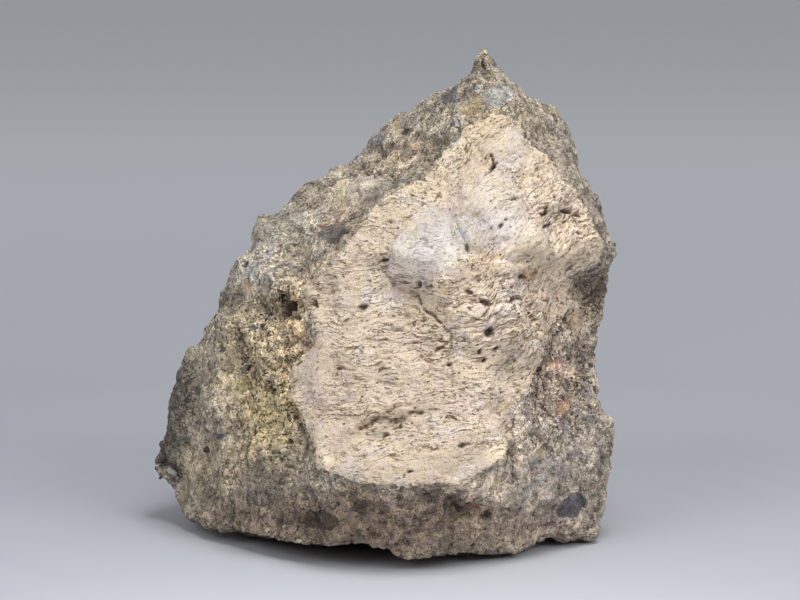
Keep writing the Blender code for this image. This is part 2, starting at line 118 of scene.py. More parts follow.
# Cracks: points, half width and depth.
CRACKS = [
    ([(3, 1.6), (4.5, -1), (7.3, -3.5), (9.3, -5.8), (10.2, -7.2), (8.4, -9.4), (7, -10.2)], 0.24, 0.7),
    ([(10.2, -7.2), (9.8, -11), (10.3, -14), (10.2, -17.4)], 0.22, 0.35),
    ([(34.1, -1.8), (32.4, -5), (30.8, -6.9), (30.5, -9.7), (28.5, -13.5), (27.6, -14.7)], 0.45, 1.3),
    ([(-8.4, -26), (-5.7, -24.8), (-4.2, -24.2), (-0.6, -23.8), (1.7, -23), (4.3, -22.7)], 0.4, 0.8),
    ([(18.2, 28.8), (18.5, 27.4), (18.9, 26.2), (18.2, 25.4), (17.2, 24.6)], 0.25, 1),
    ([(-22.6, -20.6), (-21, -22.6), (-20.2, -25.4), (-19.2, -28), (-18.8, -31)], 0.35, 0.55),
    ([(17, 48.6), (16.9, 46.4), (17.6, 44.4)], 0.5, 0.9),
    ([(-7, 25.4), (-5, 25), (-3.2, 25.8), (-1.6, 24.6), (-0.8, 23.2)], 0.3, 0.7),
    ([(22.6, -29), (22.7, -33), (23, -35.6)], 0.35, 0.8),
    ([(-2.4, 23.6), (-4.4, 25.2), (-9.4, 24.8), (-12.8, 23.8), (-13.2, 20.8), (-11.8, 18.2)], 0.22, 0.35),
    ([(-33.6, -3.8), (-31.8, -8), (-30.4, -11.6), (-29.2, -14.6)], 0.4, 0.9),
    ([(-27.2, -6), (-26.2, -9.4), (-25, -12), (-23.4, -14)], 0.3, 0.6),
    ([(-26.4, -29), (-24.4, -30.8), (-22.4, -33), (-20, -34)], 0.3, 0.6),
    ([(-3.4, 7.6), (-2.6, 4.6), (0.6, 2.2), (3.6, 1.2)], 0.5, 0.5),
]

# Soft grooves, given as the cracks are.
GROOVES = [
    ([(10.4, 14.6), (11.6, 12.6), (13.4, 10.6)], 1, 0.45),
    ([(-14.6, 0.6), (-9.4, 7.6), (-1.6, 14.4), (3, 18.8), (8.4, 23), (13.2, 29.4)], 1.1, 0.6),
    ([(13.4, 10.4), (19, 8.4), (24.6, 8.2), (29.8, 9.4)], 0.9, 0.6),
    ([(24, 25), (27.4, 19.6), (32, 14.6)], 0.8, 0.5),
    ([(-16, -22), (-9, -24.6), (-2, -24.8)], 1.2, 0.5),
]

# Lumps: spots with a height. They fall off steeply on one side and gently on the other.
LUMPS = [
    (2.6, 8, 6.6, 4, 15, 0.5), (9, 12, 8.6, 4.6, 40, 0.3), (16.4, 16.4, 8.8, 6.4, 20, 1.5),
    (24.6, 12.4, 6.4, 3.8, 14, 1), (17, 22.6, 7, 5, 60, 0.9), (22.6, 29, 6, 5, -30, 1.2),
    (8.6, 3.4, 3, 2.2, 10, 1), (31, 11, 6, 3, 30, 0.8), (20, -4.6, 12.6, 9, -12, 1.5),
    (-18.6, -16, 4, 5, 0, 0.4), (-13.6, 13, 3.2, 2.1, 25, 0.8), (-7.6, 21.6, 5, 3.2, 5, 0.6),
    (-24.6, 14.6, 4.4, 2.8, 15, 0.8), (34.6, -41, 2.6, 2.6, 0, 0.5), (19.6, 40.4, 3.4, 2.4, 18, 0.6),
    (14, 38.4, 2.8, 1.9, 30, 0.6), (35.4, -4, 1.4, 2.4, -20, 0.6), (33, -21, 2.8, 1.4, 65, 0.6),
    (14, -29, 9, 6, 10, 0.9), (31, 20, 7, 3.6, 30, 0.8), (-6, -12, 9, 6, 10, 0.7),
]
STEEP_SIDE = math.radians(240)
STEEP, GENTLE, LUMP_ROUNDNESS = 0.9, 2, 2.6

# Small changes of the outline: spots that are drawn this far across and up.
PULLS = [
    (16.8, 49.4, 3, 2.6, 0, 0, 0.9), (13, 46.2, 1.9, 1.5, 0, 0.5, -0.3),
    (12, 45.2, 3.4, 1.7, 35, 0.2, -0.9), (-0.6, 36.6, 2.8, 1.8, 35, -0.1, 1),
    (20.8, 46.2, 3, 1.7, -50, 0.4, 0.5), (31.4, 38.4, 2.6, 2.2, -40, 0.7, 0.9),
    (40, 20.2, 2.8, 1.9, -60, 0.9, 0.5), (9.4, 43, 3, 1.8, 35, 0.1, -0.6),
    (-6.7, 32.4, 2.4, 1.6, 35, -0.1, 0.6), (41, -3.1, 2.6, 1.8, 90, 0.6, 0),
    (42.6, 10, 3.2, 2, 80, 0.8, 0.3), (38.8, -9.4, 5, 2.4, 90, 1, 0),
    (39.9, -20.4, 2.8, 2.2, 90, -0.8, 0.2), (-28.4, 16.6, 2.2, 1.8, 0, -0.8, 0.9),
    (-31.6, 11.2, 3.6, 3, 60, 1.8, -0.8), (-35.6, 1, 2.2, 1.8, 90, -0.8, 0.1),
    (-41.2, -8.2, 3.8, 3, 60, 1.7, 0), (-45.4, -17.8, 3.6, 2.2, 80, 0.6, 0.2),
    (-18.6, 23.8, 4, 2, 30, -0.3, 0.6), (-8.6, 29.4, 3.2, 1.8, 30, -0.2, 0.6),
]
PULL_SIDES = (0.1, 1.1)

# Spots where the ash crumbles, where the pumice is calm and where it is torn into deep fibres.
CRUMBLY = [(-26, -16, 20, 9, 100), (-24, -1, 7, 6, 0), (32, -12, 20, 8, 85)]
CALM = [
    (6.4, 12, 10, 6.4, 38), (16, 17, 9, 7, 20), (22.6, 29.6, 5, 4.2, -30), (17, 23, 7, 5, 60),
    (25, 12.6, 6, 3.4, 12), (-16.6, -12, 4, 6, 0), (-13, -29, 6, 4, -30), (9, -33, 12, 3, 15),
]
CALM_SIDES = (0.6, 1.2)
TORN = [(31, 17, 11, 7, -40), (22, -2, 12, 9, 0), (6, -8, 5, 9, 20)]

# The pumice stands proud by this much along its left and upper right rims.
PROUD = 0.45
PROUD_RIM = [(-18, -17, 18, 4, 90), (33, 21.4, 13.5, 2.4, -54)]

# Patches: spots with a colour and a strength. Each goes back along the line of sight by this many times its
# longer half, from the frontmost point this near to its middle, and has this share of the wide sway.
PATCH_DEPTH = 9
PATCH_MIDDLE = 0.4
PATCH_SWAY = 0.3
BLUE_GREY, DARK = (112, 116, 128), (58, 54, 50)
PATCHES = [
    (25.6, 4.9, 2.2, 1.3, 20, (196, 150, 112), 0.55), (-7.6, -1.6, 1.6, 1, 20, (150, 142, 118), 0.5),
    (-4.4, -27, 1.8, 1.1, 0, (176, 168, 148), 0.6), (-6.8, -24.6, 2.6, 0.9, 28, (158, 122, 92), 0.5),
    (20, -21.6, 2.4, 1, 20, (182, 156, 118), 0.5), (17.6, -6.2, 0.8, 0.5, 25, (120, 122, 128), 0.7),
    (-6.4, 21.8, 4.6, 3.6, 10, (240, 226, 206), 0.75), (-11.4, 21.2, 2.1, 3.8, 8, (250, 232, 200), 0.9),
    (-15.8, 14.8, 0.7, 0.55, 0, (150, 90, 74), 0.85), (-13, 13.2, 2.9, 1.9, 25, (92, 92, 92), 0.75),
    (10, 41, 2, 1.7, 30, BLUE_GREY, 0.7), (-4.6, 31.8, 2, 1.1, 40, (126, 129, 140), 0.65),
    (1.4, 33.6, 1.4, 0.8, 30, (76, 72, 70), 0.8), (-0.6, 35, 1, 1.4, 0, (190, 170, 130), 0.7),
    (5.8, 31.6, 2, 1, 30, (176, 166, 146), 0.5), (-29.3, 5.7, 1.5, 1.8, -20, (186, 184, 174), 0.8),
    (-30.4, 2.3, 1, 1.4, 0, (206, 180, 154), 0.9), (-28.8, -5.8, 0.9, 0.6, 0, (92, 108, 118), 0.9),
    (-21.4, 11, 1.5, 0.5, 0, DARK, 0.8), (-32.2, -17.2, 2.2, 1.5, 10, (192, 188, 150), 0.7),
    (-33.4, -12.4, 1.6, 2.6, 10, (190, 183, 170), 0.6), (-36, -27.6, 1.1, 0.7, -10, (88, 102, 112), 0.9),
    (-35.2, -27.9, 0.4, 0.3, 0, (225, 225, 220), 0.9), (-43.3, -39.9, 2.8, 0.9, 70, (188, 172, 146), 0.8),
    (-23.6, 14, 4.8, 3.2, 20, (190, 184, 166), 0.5),
    (33, -21, 2.6, 1.2, 65, (206, 166, 134), 0.75), (34, -41.7, 2.6, 2.1, 20, (78, 84, 94), 0.82),
    (35.2, -40.4, 2.2, 2.2, 60, (84, 90, 98), 0.82), (26.8, -31.6, 2.2, 0.4, 50, (210, 208, 200), 0.65),
    (29.4, -33.4, 2.6, 0.4, 62, (196, 198, 196), 0.6), (31.2, -35.2, 2.8, 0.42, 60, (214, 212, 206), 0.65),
    (28.2, -36.6, 2.4, 0.36, 55, (188, 190, 188), 0.6), (25.2, -38.8, 2.6, 0.45, 52, (202, 202, 196), 0.6),
    (27.4, -40.8, 2, 0.36, 40, (176, 178, 176), 0.6), (33.8, -33.6, 1.4, 1, 20, (186, 176, 164), 0.6),
    (30.4, -26.6, 1.3, 0.9, -30, (204, 192, 176), 0.7), (24.6, -34.4, 1.1, 0.8, 30, (208, 196, 180), 0.7),
    (36.8, -29.4, 1.6, 1.2, 0, (172, 160, 146), 0.6), (24.4, -42.6, 1.3, 0.8, 0, (186, 172, 156), 0.6),
    (30.2, -43.2, 1.4, 0.7, 10, (180, 160, 142), 0.6), (27.8, -30.2, 1.2, 1.1, 0, (206, 190, 152), 0.8),
    (33.4, -25.8, 0.8, 1.2, 0, (194, 188, 178), 0.9), (21.8, -38.6, 1.1, 1.8, -10, (203, 187, 168), 0.9),
    (19.6, -36, 1, 1.3, 0, (188, 172, 140), 0.8), (35.4, -3.9, 1.2, 2.2, -20, (203, 180, 154), 0.85),
    (38, -12, 0.8, 2.1, 10, (200, 190, 176), 0.8), (31, -12.4, 1.8, 1.1, 15, (198, 170, 148), 0.8),
    (35.6, -9.2, 1.2, 1.4, 0, (150, 128, 108), 0.6), (15, -41.3, 1.4, 0.45, 8, (170, 112, 76), 0.8),
    (19.6, 40.6, 3.4, 2.2, 18, (222, 219, 214), 0.8), (14, 38.4, 2.6, 1.6, 30, (206, 188, 150), 0.75),
    (-16, -44, 3.4, 2, 0, (80, 72, 66), 0.7), (-7, -41.6, 2.6, 1.5, 10, (88, 76, 66), 0.5),
    (11, -41.2, 3, 2.4, -20, (84, 74, 66), 0.6), (40, -33, 0.8, 3.4, 0, (80, 84, 92), 0.6),
    (32.6, 37.6, 2, 1, -20, (190, 170, 130), 0.5), (36.4, 27.6, 0.8, 0.8, 0, (90, 90, 96), 0.7),
]

# Whiter spots of the pumice with a strength, and what full strength multiplies red, green and blue by. Then
# tones of the whole stone and of the ash alone: spots with what the colour is multiplied by, one number or
# one each for red, green and blue. The tones are partly the stone's own colour and partly painted light and
# shade: lighter on faces and facets that the lamps leave too dark, darker in recesses and hollows, on the
# underside and along the far left, and darker on a lump top that catches too much light.
WHITE_SPOTS = [
    (6.4, 11, 11, 6.4, 34, 1), (16.8, 17, 9.4, 7.4, 20, 0.45), (22.4, 29.4, 5.4, 4.6, -30, 0.3),
    (-3.4, 0, 4.4, 2.2, -10, 0.45), (6.8, -23.3, 3, 1.7, 0, 0.3), (20.8, -3, 3.6, 1.8, 15, 0.25),
    (23.4, -9.4, 4, 1.4, 18, 0.25),
]
WHITER = (1.15, 1.29, 1.52)
TONES_AND_PAINTED_LIGHT = [
    (3.6, 6.4, 5.6, 2.2, 42, (0.98, 0.99, 1)), (11.4, 12.8, 3.8, 1.6, -50, (0.74, 0.74, 0.76)),
    (-1, 6, 6, 2.2, 8, 1.14), (13.8, 6, 7.6, 1.8, 0, (0.84, 0.83, 0.83)),
    (20.4, 9.8, 2.4, 2.2, 0, (1.5, 1.53, 1.56)), (32, 10, 3.2, 2.4, 20, (1.7, 1.7, 1.66)),
    (-14.5, -21, 4.5, 2.2, 0, 1.18), (-15.6, -31, 2.6, 3.8, 0, (1.26, 1.26, 1.25)),
    (19.4, -30, 2.6, 2.6, 0, (1.5, 1.48, 1.44)), (14, -33.6, 4.4, 1.8, 25, (1.26, 1.26, 1.24)),
    (8, 2, 2.4, 2, 0, (1.5, 1.48, 1.44)), (10, -6.6, 3.2, 3.4, 0, 1.14),
    (24, 26.4, 2.6, 2.6, 0, (1.24, 1.25, 1.27)), (36, 14, 2.6, 2.4, 0, (1.26, 1.26, 1.25)),
    (12, 30, 6, 1.8, 35, (1.12, 1.12, 1.11)), (-4, -21, 11.6, 2, 0, (1.16, 1.16, 1.17)),
    (-7, -26, 4.6, 1.6, 10, (0.82, 0.8, 0.77)), (7.4, 15.8, 5.2, 2.6, 30, (0.75, 0.76, 0.79)),
    (18.8, 12.8, 6.6, 3.4, 14, (1.22, 1.27, 1.38)), (-18.6, -14, 3, 7, 0, (0.96, 0.97, 1.02)),
    (17, -3, 8, 5.6, 0, (1.22, 1.22, 1.26)), (18, -21, 7, 7, 0, (1.12, 1.13, 1.17)),
    (0, 17.6, 7.5, 2.8, 40, (0.93, 0.94, 0.92)), (-12, -8, 6, 6, 0, (1.04, 1.04, 1.06)),
    (32.6, 21.6, 13, 1.2, -54, (1.1, 1.1, 1.12)), (28, 20, 6, 5, -40, (1.05, 1.06, 1.08)),
    (29.5, -1, 4, 6, 0, (1.06, 1.06, 1.08)), (20, 33, 9, 7, -30, (0.93, 0.9, 0.85)),
    (33.5, -2, 5, 6.4, 0, (1.36, 1.34, 1.32)),
]
ASH_TONES_AND_PAINTED_LIGHT = [
    (-27, -17, 18, 9.4, 98, (1.94, 1.85, 1.56)), (-25.5, -22, 8, 5.5, 80, (1.15, 1.14, 1)),
    (-30, 5.6, 8, 4.6, 60, (1.35, 1.4, 1.5)), (-26, 6, 6, 6, 0, 1.12),
    (-36, -34, 9, 6, 0, (1.25, 1.22, 1.12)), (-8, -45, 34, 7.6, 0, (0.67, 0.6, 0.57)),
    (-13, -43.6, 7, 3.4, 0, (0.9, 0.9, 0.91)), (-7, 22, 24, 9, 40, 1.2),
    (-46, -25, 17, 4.6, 80, (0.44, 0.45, 0.48)), (-49, -33, 4, 4, 0, (0.8, 0.8, 0.82)),
    (-22.6, -1.4, 4.2, 2.8, -50, (0.8, 0.74, 0.68)), (-20.8, -25, 7, 1.4, 105, (0.92, 0.88, 0.9)),
    (10, 42, 5, 2, 40, (0.85, 0.85, 0.88)), (38, 3, 5.4, 3.4, 85, (0.78, 0.78, 0.81)),
    (34, -3, 6, 6, 0, 1.5), (31, -24, 26, 11, 88, (1.36, 1.34, 1.4)),
    (26, -46, 16, 4.4, 5, (1.3, 1.24, 1.24)), (38, 18, 6, 4, -60, (1.04, 1.03, 1.06)),
    (30, -37, 9, 8, 0, (0.8, 0.8, 0.82)), (37, 17, 11, 5, -60, (0.84, 0.84, 0.86)),
    (-12, 16, 5, 3, 40, (1.06, 0.98, 0.95)), (2, 29, 6, 3.4, 35, (1.08, 1, 0.93)),
    (-22, 16, 6, 4.4, 20, (0.93, 0.96, 0.97)), (-20, -4, 8.4, 2.8, 92, (2.2, 2.04, 1.74)),
    (-16.6, 5.6, 7, 2.4, 35, (1.62, 1.58, 1.5)), (18.6, -36.4, 5.6, 3.2, 35, (1.75, 1.73, 1.72)),
    (-30, 6, 4.8, 2.2, 0, (0.8, 0.8, 0.81)), (-27.6, -32.4, 4.8, 4.4, 0, (0.62, 0.62, 0.64)),
    (-37, -38, 4, 3, 0, (0.76, 0.76, 0.77)), (-8, 26, 3.6, 2, 10, (0.64, 0.63, 0.63)),
    (-18.6, 21, 5, 3.2, 20, (0.8, 0.79, 0.79)), (31.8, -13.8, 3.8, 2.4, 0, (2.5, 2.4, 2.3)),
    (32, -38, 2.8, 2.4, 0, 0.62), (-10, -38.2, 4.4, 1.6, -15, (1.6, 1.57, 1.55)),
    (14, -38.2, 4.6, 2, 10, (1.6, 1.58, 1.57)), (-28, 2, 6, 1.8, 0, (1.26, 1.25, 1.23)),
    (-28, -45.6, 5.4, 1.8, -12, 1.45), (-12.4, 17.6, 3, 1.8, 20, (0.74, 0.74, 0.75)),
    (2, 31.4, 4.6, 2.6, 45, 0.82), (-20, 14, 2.6, 2.4, 0, 1.28), (-26, -36.6, 4, 2.4, 0, 0.8),
    (-34, -44, 9, 5, 0, (0.88, 0.87, 0.86)), (29, -16, 5, 8, 0, (1.06, 1, 0.99)), (17, 46, 5, 6, 0, 0.84),
]


def sighted(points):
    """Where points lie for the eye: across and up on the plane of sight, and how far toward the eye."""
    from_centre = points - SIGHT_CENTRE
    toward = from_centre @ TOWARD
    nearness = SIGHT_DISTANCE / (SIGHT_DISTANCE - toward)
    return from_centre @ ACROSS * nearness, from_centre @ UP * nearness, toward


def ramp(value, low, high):
    """Goes smoothly from 0 at `low` to 1 at `high`."""
    share = np.clip((value - low) / (high - low), 0, 1)
    return share * share * (3 - 2 * share)


def srgb(red, green, blue):
    """A colour given as it looks on a screen, 0 to 255, as the linear colour that a shader takes."""
    return tuple(((c / 255 + 0.055) / 1.055) ** 2.4 for c in (red, green, blue))


# --- The skin's mesh ---


def arrays(work):
    """The points and triangles of a bmesh, which is then freed."""
    work.verts.index_update()
    points = np.array([v.co for v in work.verts])
    faces = np.array([[v.index for v in f.verts] for f in work.faces])
    work.free()
    return points, faces


def welded(node):
    """The node's points in millimetres and its triangles, with doubled corners joined."""
    work = bmesh.new()
    work.from_mesh(node.data)
    bmesh.ops.remove_doubles(work, verts=work.verts, dist=1e-6)
    bmesh.ops.triangulate(work, faces=work.faces)
    points, faces = arrays(work)
    return points / MM, faces


def ash_edge(points):
    """How long an edge of the ash's mesh may be at each of these points."""
    across, up, toward = sighted(points)
    covered = ramp(outline_distance(across, up), *COVERED)
    seen = FRONT_EDGE + covered * (COVERED_EDGE - FRONT_EDGE)
    return REAR_EDGE + ramp(toward, REAR_FROM, FRONT_FROM) * (seen - REAR_EDGE)


def pumice_edge(points):
    """How long an edge of the pumice's mesh may be: short on the pumice, any length elsewhere."""
    across, up, toward = sighted(points)
    outside = (outline_distance(across, up) < -PUMICE_MARGIN - 1) | (toward < FRONT_FROM)
    return np.where(outside, BASE_EDGES[-1], PUMICE_EDGE)


# How a triangle is divided when this many of its edges are halved: 0 to 2 are its corners, 3 to 5 the
# middles of its edges, 6 and 7 the end and the start of the shorter diagonal.
DIVISIONS = [
    (0, [(0, 1, 2)]), (3, [(0, 3, 5), (3, 1, 4), (5, 4, 2), (3, 4, 5)]), (1, [(0, 3, 2), (3, 1, 2)]),
    (2, [(3, 1, 4), (0, 3, 6), (7, 4, 2)]),
]


def halved(points, faces, limit):
    """The mesh with each edge that is longer than its limit halved, and the triangles divided to match."""
    sides = np.sort(faces[:, [[0, 1], [1, 2], [2, 0]]].reshape(-1, 2), axis=1)
    keys, index = np.unique(sides[:, 0] * len(points) + sides[:, 1], return_inverse=True)
    ends = points[np.stack([keys // len(points), keys % len(points)], axis=1)]
    middles = ends.mean(axis=1)
    long = np.linalg.norm(ends[:, 0] - ends[:, 1], axis=1) > limit(middles)
    number = np.full(len(keys), -1)
    number[long] = len(points) + np.arange(long.sum())
    points = np.concatenate([points, middles[long]])
    cuts = number[index].reshape(-1, 3)
    cut = cuts >= 0
    count = cut.sum(axis=1)

    # Each triangle is turned so that its halved edges come first.
    first = np.select([count == 1, count == 2], [np.argmax(cut, axis=1), np.argmin(cut, axis=1) + 1])
    turned = np.arange(len(faces))[:, None], (first[:, None] + np.arange(3)) % 3
    a, b, c, ab, bc, ca = *faces[turned].T, *cuts[turned].T
    short = np.linalg.norm(points[a] - points[bc], axis=1) < np.linalg.norm(points[ab] - points[c], axis=1)
    rows = np.stack([a, b, c, ab, bc, ca, np.where(short, bc, c), np.where(short, a, ab)], axis=1)
    made = [rows[count == halves][:, triangle] for halves, triangles in DIVISIONS for triangle in triangles]
    return points, np.concatenate(made)


def refined(points, faces, limit):
    """The mesh with its edges halved until none is longer than `limit` says for its middle."""
    for _ in range(MOST_HALVINGS):
        before = len(points)
        points, faces = halved(points, faces, limit)
        if len(points) == before:
            break
    return points, faces


def smoothed(points, faces, shares):
    """Moves every point by each of these shares in turn towards the middle of its neighbours."""
    starts = faces.ravel()
    ends = np.roll(faces, -1, axis=1).ravel()
    count = np.bincount(starts, minlength=len(points))[:, None]
    for share in shares:
        totals = [np.bincount(starts, points[ends, axis], len(points)) for axis in range(3)]
        points = points + share * (np.stack(totals, axis=1) / count - points)
    return points


def face_directions(points, faces):
    """The outward direction of every face, as long as twice its area."""
    a, b, c = (points[faces[:, corner]] for corner in range(3))
    return np.cross(b - a, c - a)


def gathered(faces, values, count):
    """For each of `count` points the sum of the values of the faces around it."""
    return np.bincount(faces.ravel(), np.repeat(values, 3), count)


def normals(points, faces):
    """The outward direction at every point."""
    totals = [gathered(faces, values, len(points)) for values in face_directions(points, faces).T]
    total = np.stack(totals, axis=1)
    return total / np.linalg.norm(total, axis=1, keepdims=True)


# --- Relief ---


def rough(points, size, octaves=1, shift=0):
    """Smooth noise of about -1 to 1 whose lumps have this size."""
    places = (points / size + shift).tolist()
    if octaves == 1:
        return np.array([noise.noise(p) for p in places])
    return np.array([noise.fractal(p, 1, 2, octaves) for p in places])


def grains(points, size, shift=0):
    """Packed grains of this size: each stands up or lies low by its own amount, -1 to 1, with a groove
    between it and the next."""
    heights = []
    for place in (points / size + shift).tolist():
        distances, centres = noise.voronoi(place)
        groove = min(1, (distances[1] - distances[0]) / 0.28)
        heights.append(noise.noise(centres[0] * 7.3) * 1.6 * groove + 0.45 * (groove - 1))
    return np.array(heights)


def outline_distance(across, up):
    """Millimetres from the pumice's outline, positive inside it."""
    place = np.stack([across, up], axis=1)
    best = np.full(len(place), 1e9)
    inside = np.zeros(len(place), bool)
    for start, end in zip(PUMICE_OUTLINE, PUMICE_OUTLINE[1:] + PUMICE_OUTLINE[:1]):
        best = np.minimum(best, line_distance(place, start, end))
        between = (start[1] > up) != (end[1] > up)
        crossing = start[0] + (up - start[1]) * (end[0] - start[0]) / (end[1] - start[1] + 1e-12)
        inside ^= between & (across < crossing)
    return np.where(inside, best, -best)


def line_distance(place, start, end):
    """The distance of each place from the line between two points."""
    start, end = np.array(start), np.array(end)
    along = np.clip((place - start) @ (end - start) / ((end - start) @ (end - start)), 0, 1)
    return np.linalg.norm(place - start - along[:, None] * (end - start), axis=1)


def from_middle(across, up, spot):
    """The distance from an ellipse's middle, 1 on its edge. A spot starts with across, up, half length,
    half width and turn."""
    spot_across, spot_up, length, width, turn = spot[:5]
    angle = math.radians(turn)
    right, over = across - spot_across, up - spot_up
    along = right * math.cos(angle) + over * math.sin(angle)
    aside = over * math.cos(angle) - right * math.sin(angle)
    return np.hypot(along / length, aside / width)


# What shakes the edges of spots: the noise's size, octaves and reach, and where it is read for across and
# up. Then the same for the pumice's edge.
WAVES = (2.6, 2, 0.6, (0, 31.7))
RIPPLES = (0.8, 1, 0.2, (13, 17))
SWAY = (6, 2, 1.7, (2, 41))
RAGGED = [(2.6, 2, 0.7, 4), (0.9, 1, 0.3, 8)]

# The front fades out where the surface turns from the eye by these amounts. Points that are less than
# `SEEN` lie at least this far outside the pumice and the patches. No patch starts farther back than this.
FADING = (-0.12, 0.02)
SEEN = 0.5
OUTSIDE = 2
FARTHEST_BACK = -50

# Where spots, pits, cracks and grooves fade out: 0 is their middle and 1 their edge.
SPOT_SIDES, PIT_SIDES, CRACK_SIDES, GROOVE_SIDES = (0.4, 1.3), (0.45, 1.25), (0.2, 1.9), (0, 2)

# Where the ash's tones start. Then the shade by the pumice's upper left edge: its strength, how far inside
# the edge it starts and ends, and from where up and to the left.
TONE_BORDER = (0.4, -0.4)
RIM_SHADE = 0.4
SHADE_STARTS, SHADE_ENDS, SHADE_UP, SHADE_LEFT = (-3.6, -1.6), (0.2, -0.4), (4, 9), (12, 9)


class Sheet:
    """A surface on the stone: its points and triangles, where they lie for the eye, and what is there."""

    def __init__(self, points, faces):
        self.points, self.faces = points, faces
        self.outward = normals(points, faces)
        self.across, self.up, self.toward = sighted(points)
        to_eye = SIGHT_CENTRE + TOWARD * SIGHT_DISTANCE - points
        facing = (self.outward * to_eye).sum(axis=1) / np.linalg.norm(to_eye, axis=1)
        self.seen = ramp(facing, *FADING)
        self.wavy, self.swayed = self.shaken(WAVES, RIPPLES), self.shaken(SWAY)
        ragged = sum(reach * rough(points, size, octaves, shift) for size, octaves, reach, shift in RAGGED)
        distance = outline_distance(self.across, self.up) + ragged
        self.inside = np.where(self.seen > SEEN, distance, -np.abs(distance) - OUTSIDE)

    def shaken(self, *kinds):
        """The places across and up, shaken by noise of these kinds."""
        places = [self.across, self.up]
        for size, octaves, reach, shifts in kinds:
            noises = [rough(self.points, size, octaves, shift) for shift in shifts]
            places = [place + reach * value for place, value in zip(places, noises)]
        return np.stack(places, axis=1)

    def part(self, used, faces):
        """The sheet cut down to the points numbered in `used`, with these faces."""
        cut = object.__new__(Sheet)
        for name, values in vars(self).items():
            setattr(cut, name, faces if name == "faces" else values[used])
        return cut

    def share(self, spots, sides=SPOT_SIDES):
        """How much of the strongest of these spots there is: 1 in its middle, 0 outside."""
        most = np.zeros(len(self.points))
        for spot in spots:
            most = np.maximum(most, 1 - ramp(from_middle(*self.swayed.T, spot), *sides))
        return most * self.seen

    def lumps(self):
        """The heights of the lumps."""
        across, up = self.swayed.T
        height = np.zeros(len(self.points))
        for lump in LUMPS:
            bearing = np.arctan2(up - lump[1], across - lump[0])
            power = GENTLE + (STEEP - GENTLE) * (0.5 + 0.5 * np.cos(bearing - STEEP_SIDE))
            dome = np.clip(1 - from_middle(across, up, lump) ** LUMP_ROUNDNESS, 0, 1)
            height = height + lump[5] * dome ** power
        return height * self.seen

    def near_route(self, route, half_width, sides):
        """How near each point is to a line through the route's points: 1 on it, 0 past its sides."""
        nearest = [line_distance(self.wavy, start, end) for start, end in zip(route, route[1:])]
        return 1 - ramp(np.min(nearest, axis=0), *(side * half_width for side in sides))

    def hollows(self):
        """How deep the pits, cracks and grooves go, and how much painted shade the pits and cracks get, from
        0 to 1.
        """
        depth, dark = np.zeros(len(self.points)), np.zeros(len(self.points))
        for pit in PITS:
            share = 1 - ramp(from_middle(*self.wavy.T, pit), *PIT_SIDES)
            depth, dark = np.maximum(depth, pit[5] * share), np.maximum(dark, share)
        still_open = np.clip(0.95 + 1.2 * rough(self.points, 1.3, 2, 21), 0, 1)
        for route, half_width, crack_depth in CRACKS:
            share = self.near_route(route, half_width, CRACK_SIDES) * still_open
            depth = np.maximum(depth, crack_depth * share)
            dark = np.maximum(dark, share * min(1, crack_depth))
        for route, half_width, groove_depth in GROOVES:
            depth = np.maximum(depth, groove_depth * self.near_route(route, half_width, GROOVE_SIDES))
        return depth * self.seen, dark * self.seen

    def patches(self):
        """The patch colour at every point with its strength, and how many millimetres inside it is. A
        patch goes only so far along the line of sight."""
        place = (PATCH_SWAY * self.swayed + (1 - PATCH_SWAY) * self.wavy).T
        seen = self.seen > SEEN
        best = np.full(len(self.points), -OUTSIDE)
        colours = np.zeros((len(self.points), 4))
        for *spot, colour, strength in PATCHES:
            distance = from_middle(*place, spot)
            middle = seen & (distance < distance.min() + PATCH_MIDDLE)
            depth = self.toward - self.toward[middle].max(initial=FARTHEST_BACK)
            inside = 1 - np.hypot(distance, depth / (PATCH_DEPTH * max(spot[2:4])))
            inside = np.where(seen, inside * min(spot[2:4]), -OUTSIDE)
            ahead = inside > best
            best = np.where(ahead, inside, best)
            colours[ahead] = (*srgb(*colour), strength)
        return colours, best

    def rim_shade(self):
        """How much of the shade by the pumice's upper left edge there is."""
        shade = self.seen * ramp(self.inside, *SHADE_STARTS) * ramp(self.inside, *SHADE_ENDS)
        return shade * (ramp(self.up, *SHADE_UP) * ramp(self.across, *SHADE_LEFT))

    def tone(self):
        """What multiplies the colour at every point: the whiter spots, the tones with their painted light
        and shade, and the painted shade by the pumice's upper left edge.
        """
        white = np.max([self.share([spot]) * spot[5] for spot in WHITE_SPOTS], axis=0)
        tone = 1 + white[:, None] * (np.array(WHITER) - 1)
        for spots, place in ((TONES_AND_PAINTED_LIGHT, 1), (ASH_TONES_AND_PAINTED_LIGHT, ramp(self.inside, *TONE_BORDER))):
            for spot in spots:
                share = self.share([spot]) * place
                tone *= 1 + share[:, None] * (np.array(spot[5]) - 1)
        return tone * (1 - RIM_SHADE * self.rim_shade()[:, None])


# The pumice's fibres rise to the right by this many degrees, and by this much more at the upper right. They
# wave with these sizes and reaches.
FIBRE_RISE, FIBRE_TURN, TURN_FROM, TURN_TO = 4, 32, 8, 26
FIBRE_CENTRE = 16
FIBRE_WAVES = [(9, 1.1), (3, 0.7)]

# The size of a fibre, a thread and a bubble along it, across it and into the stone.
FIBRE, THREAD, BUBBLE = (5, 1.3, 1.8), (2, 0.7, 1), (1.8, 0.8, 1)


def fibre_place(sheet):
    """Places measured along and across the pumice's fibres, which rise to the right at the top."""
    turn = ramp(sheet.across + 0.35 * sheet.up, TURN_FROM, TURN_TO)
    rise = np.radians(FIBRE_RISE + FIBRE_TURN * turn)
    across, up = sheet.across - FIBRE_CENTRE, sheet.up
    along = across * np.cos(rise) + up * np.sin(rise)
    aside = up * np.cos(rise) - across * np.sin(rise)
    for size, reach in FIBRE_WAVES:
        aside = aside + reach * rough(sheet.points, size)
    return np.stack([along, aside, sheet.toward], axis=1)


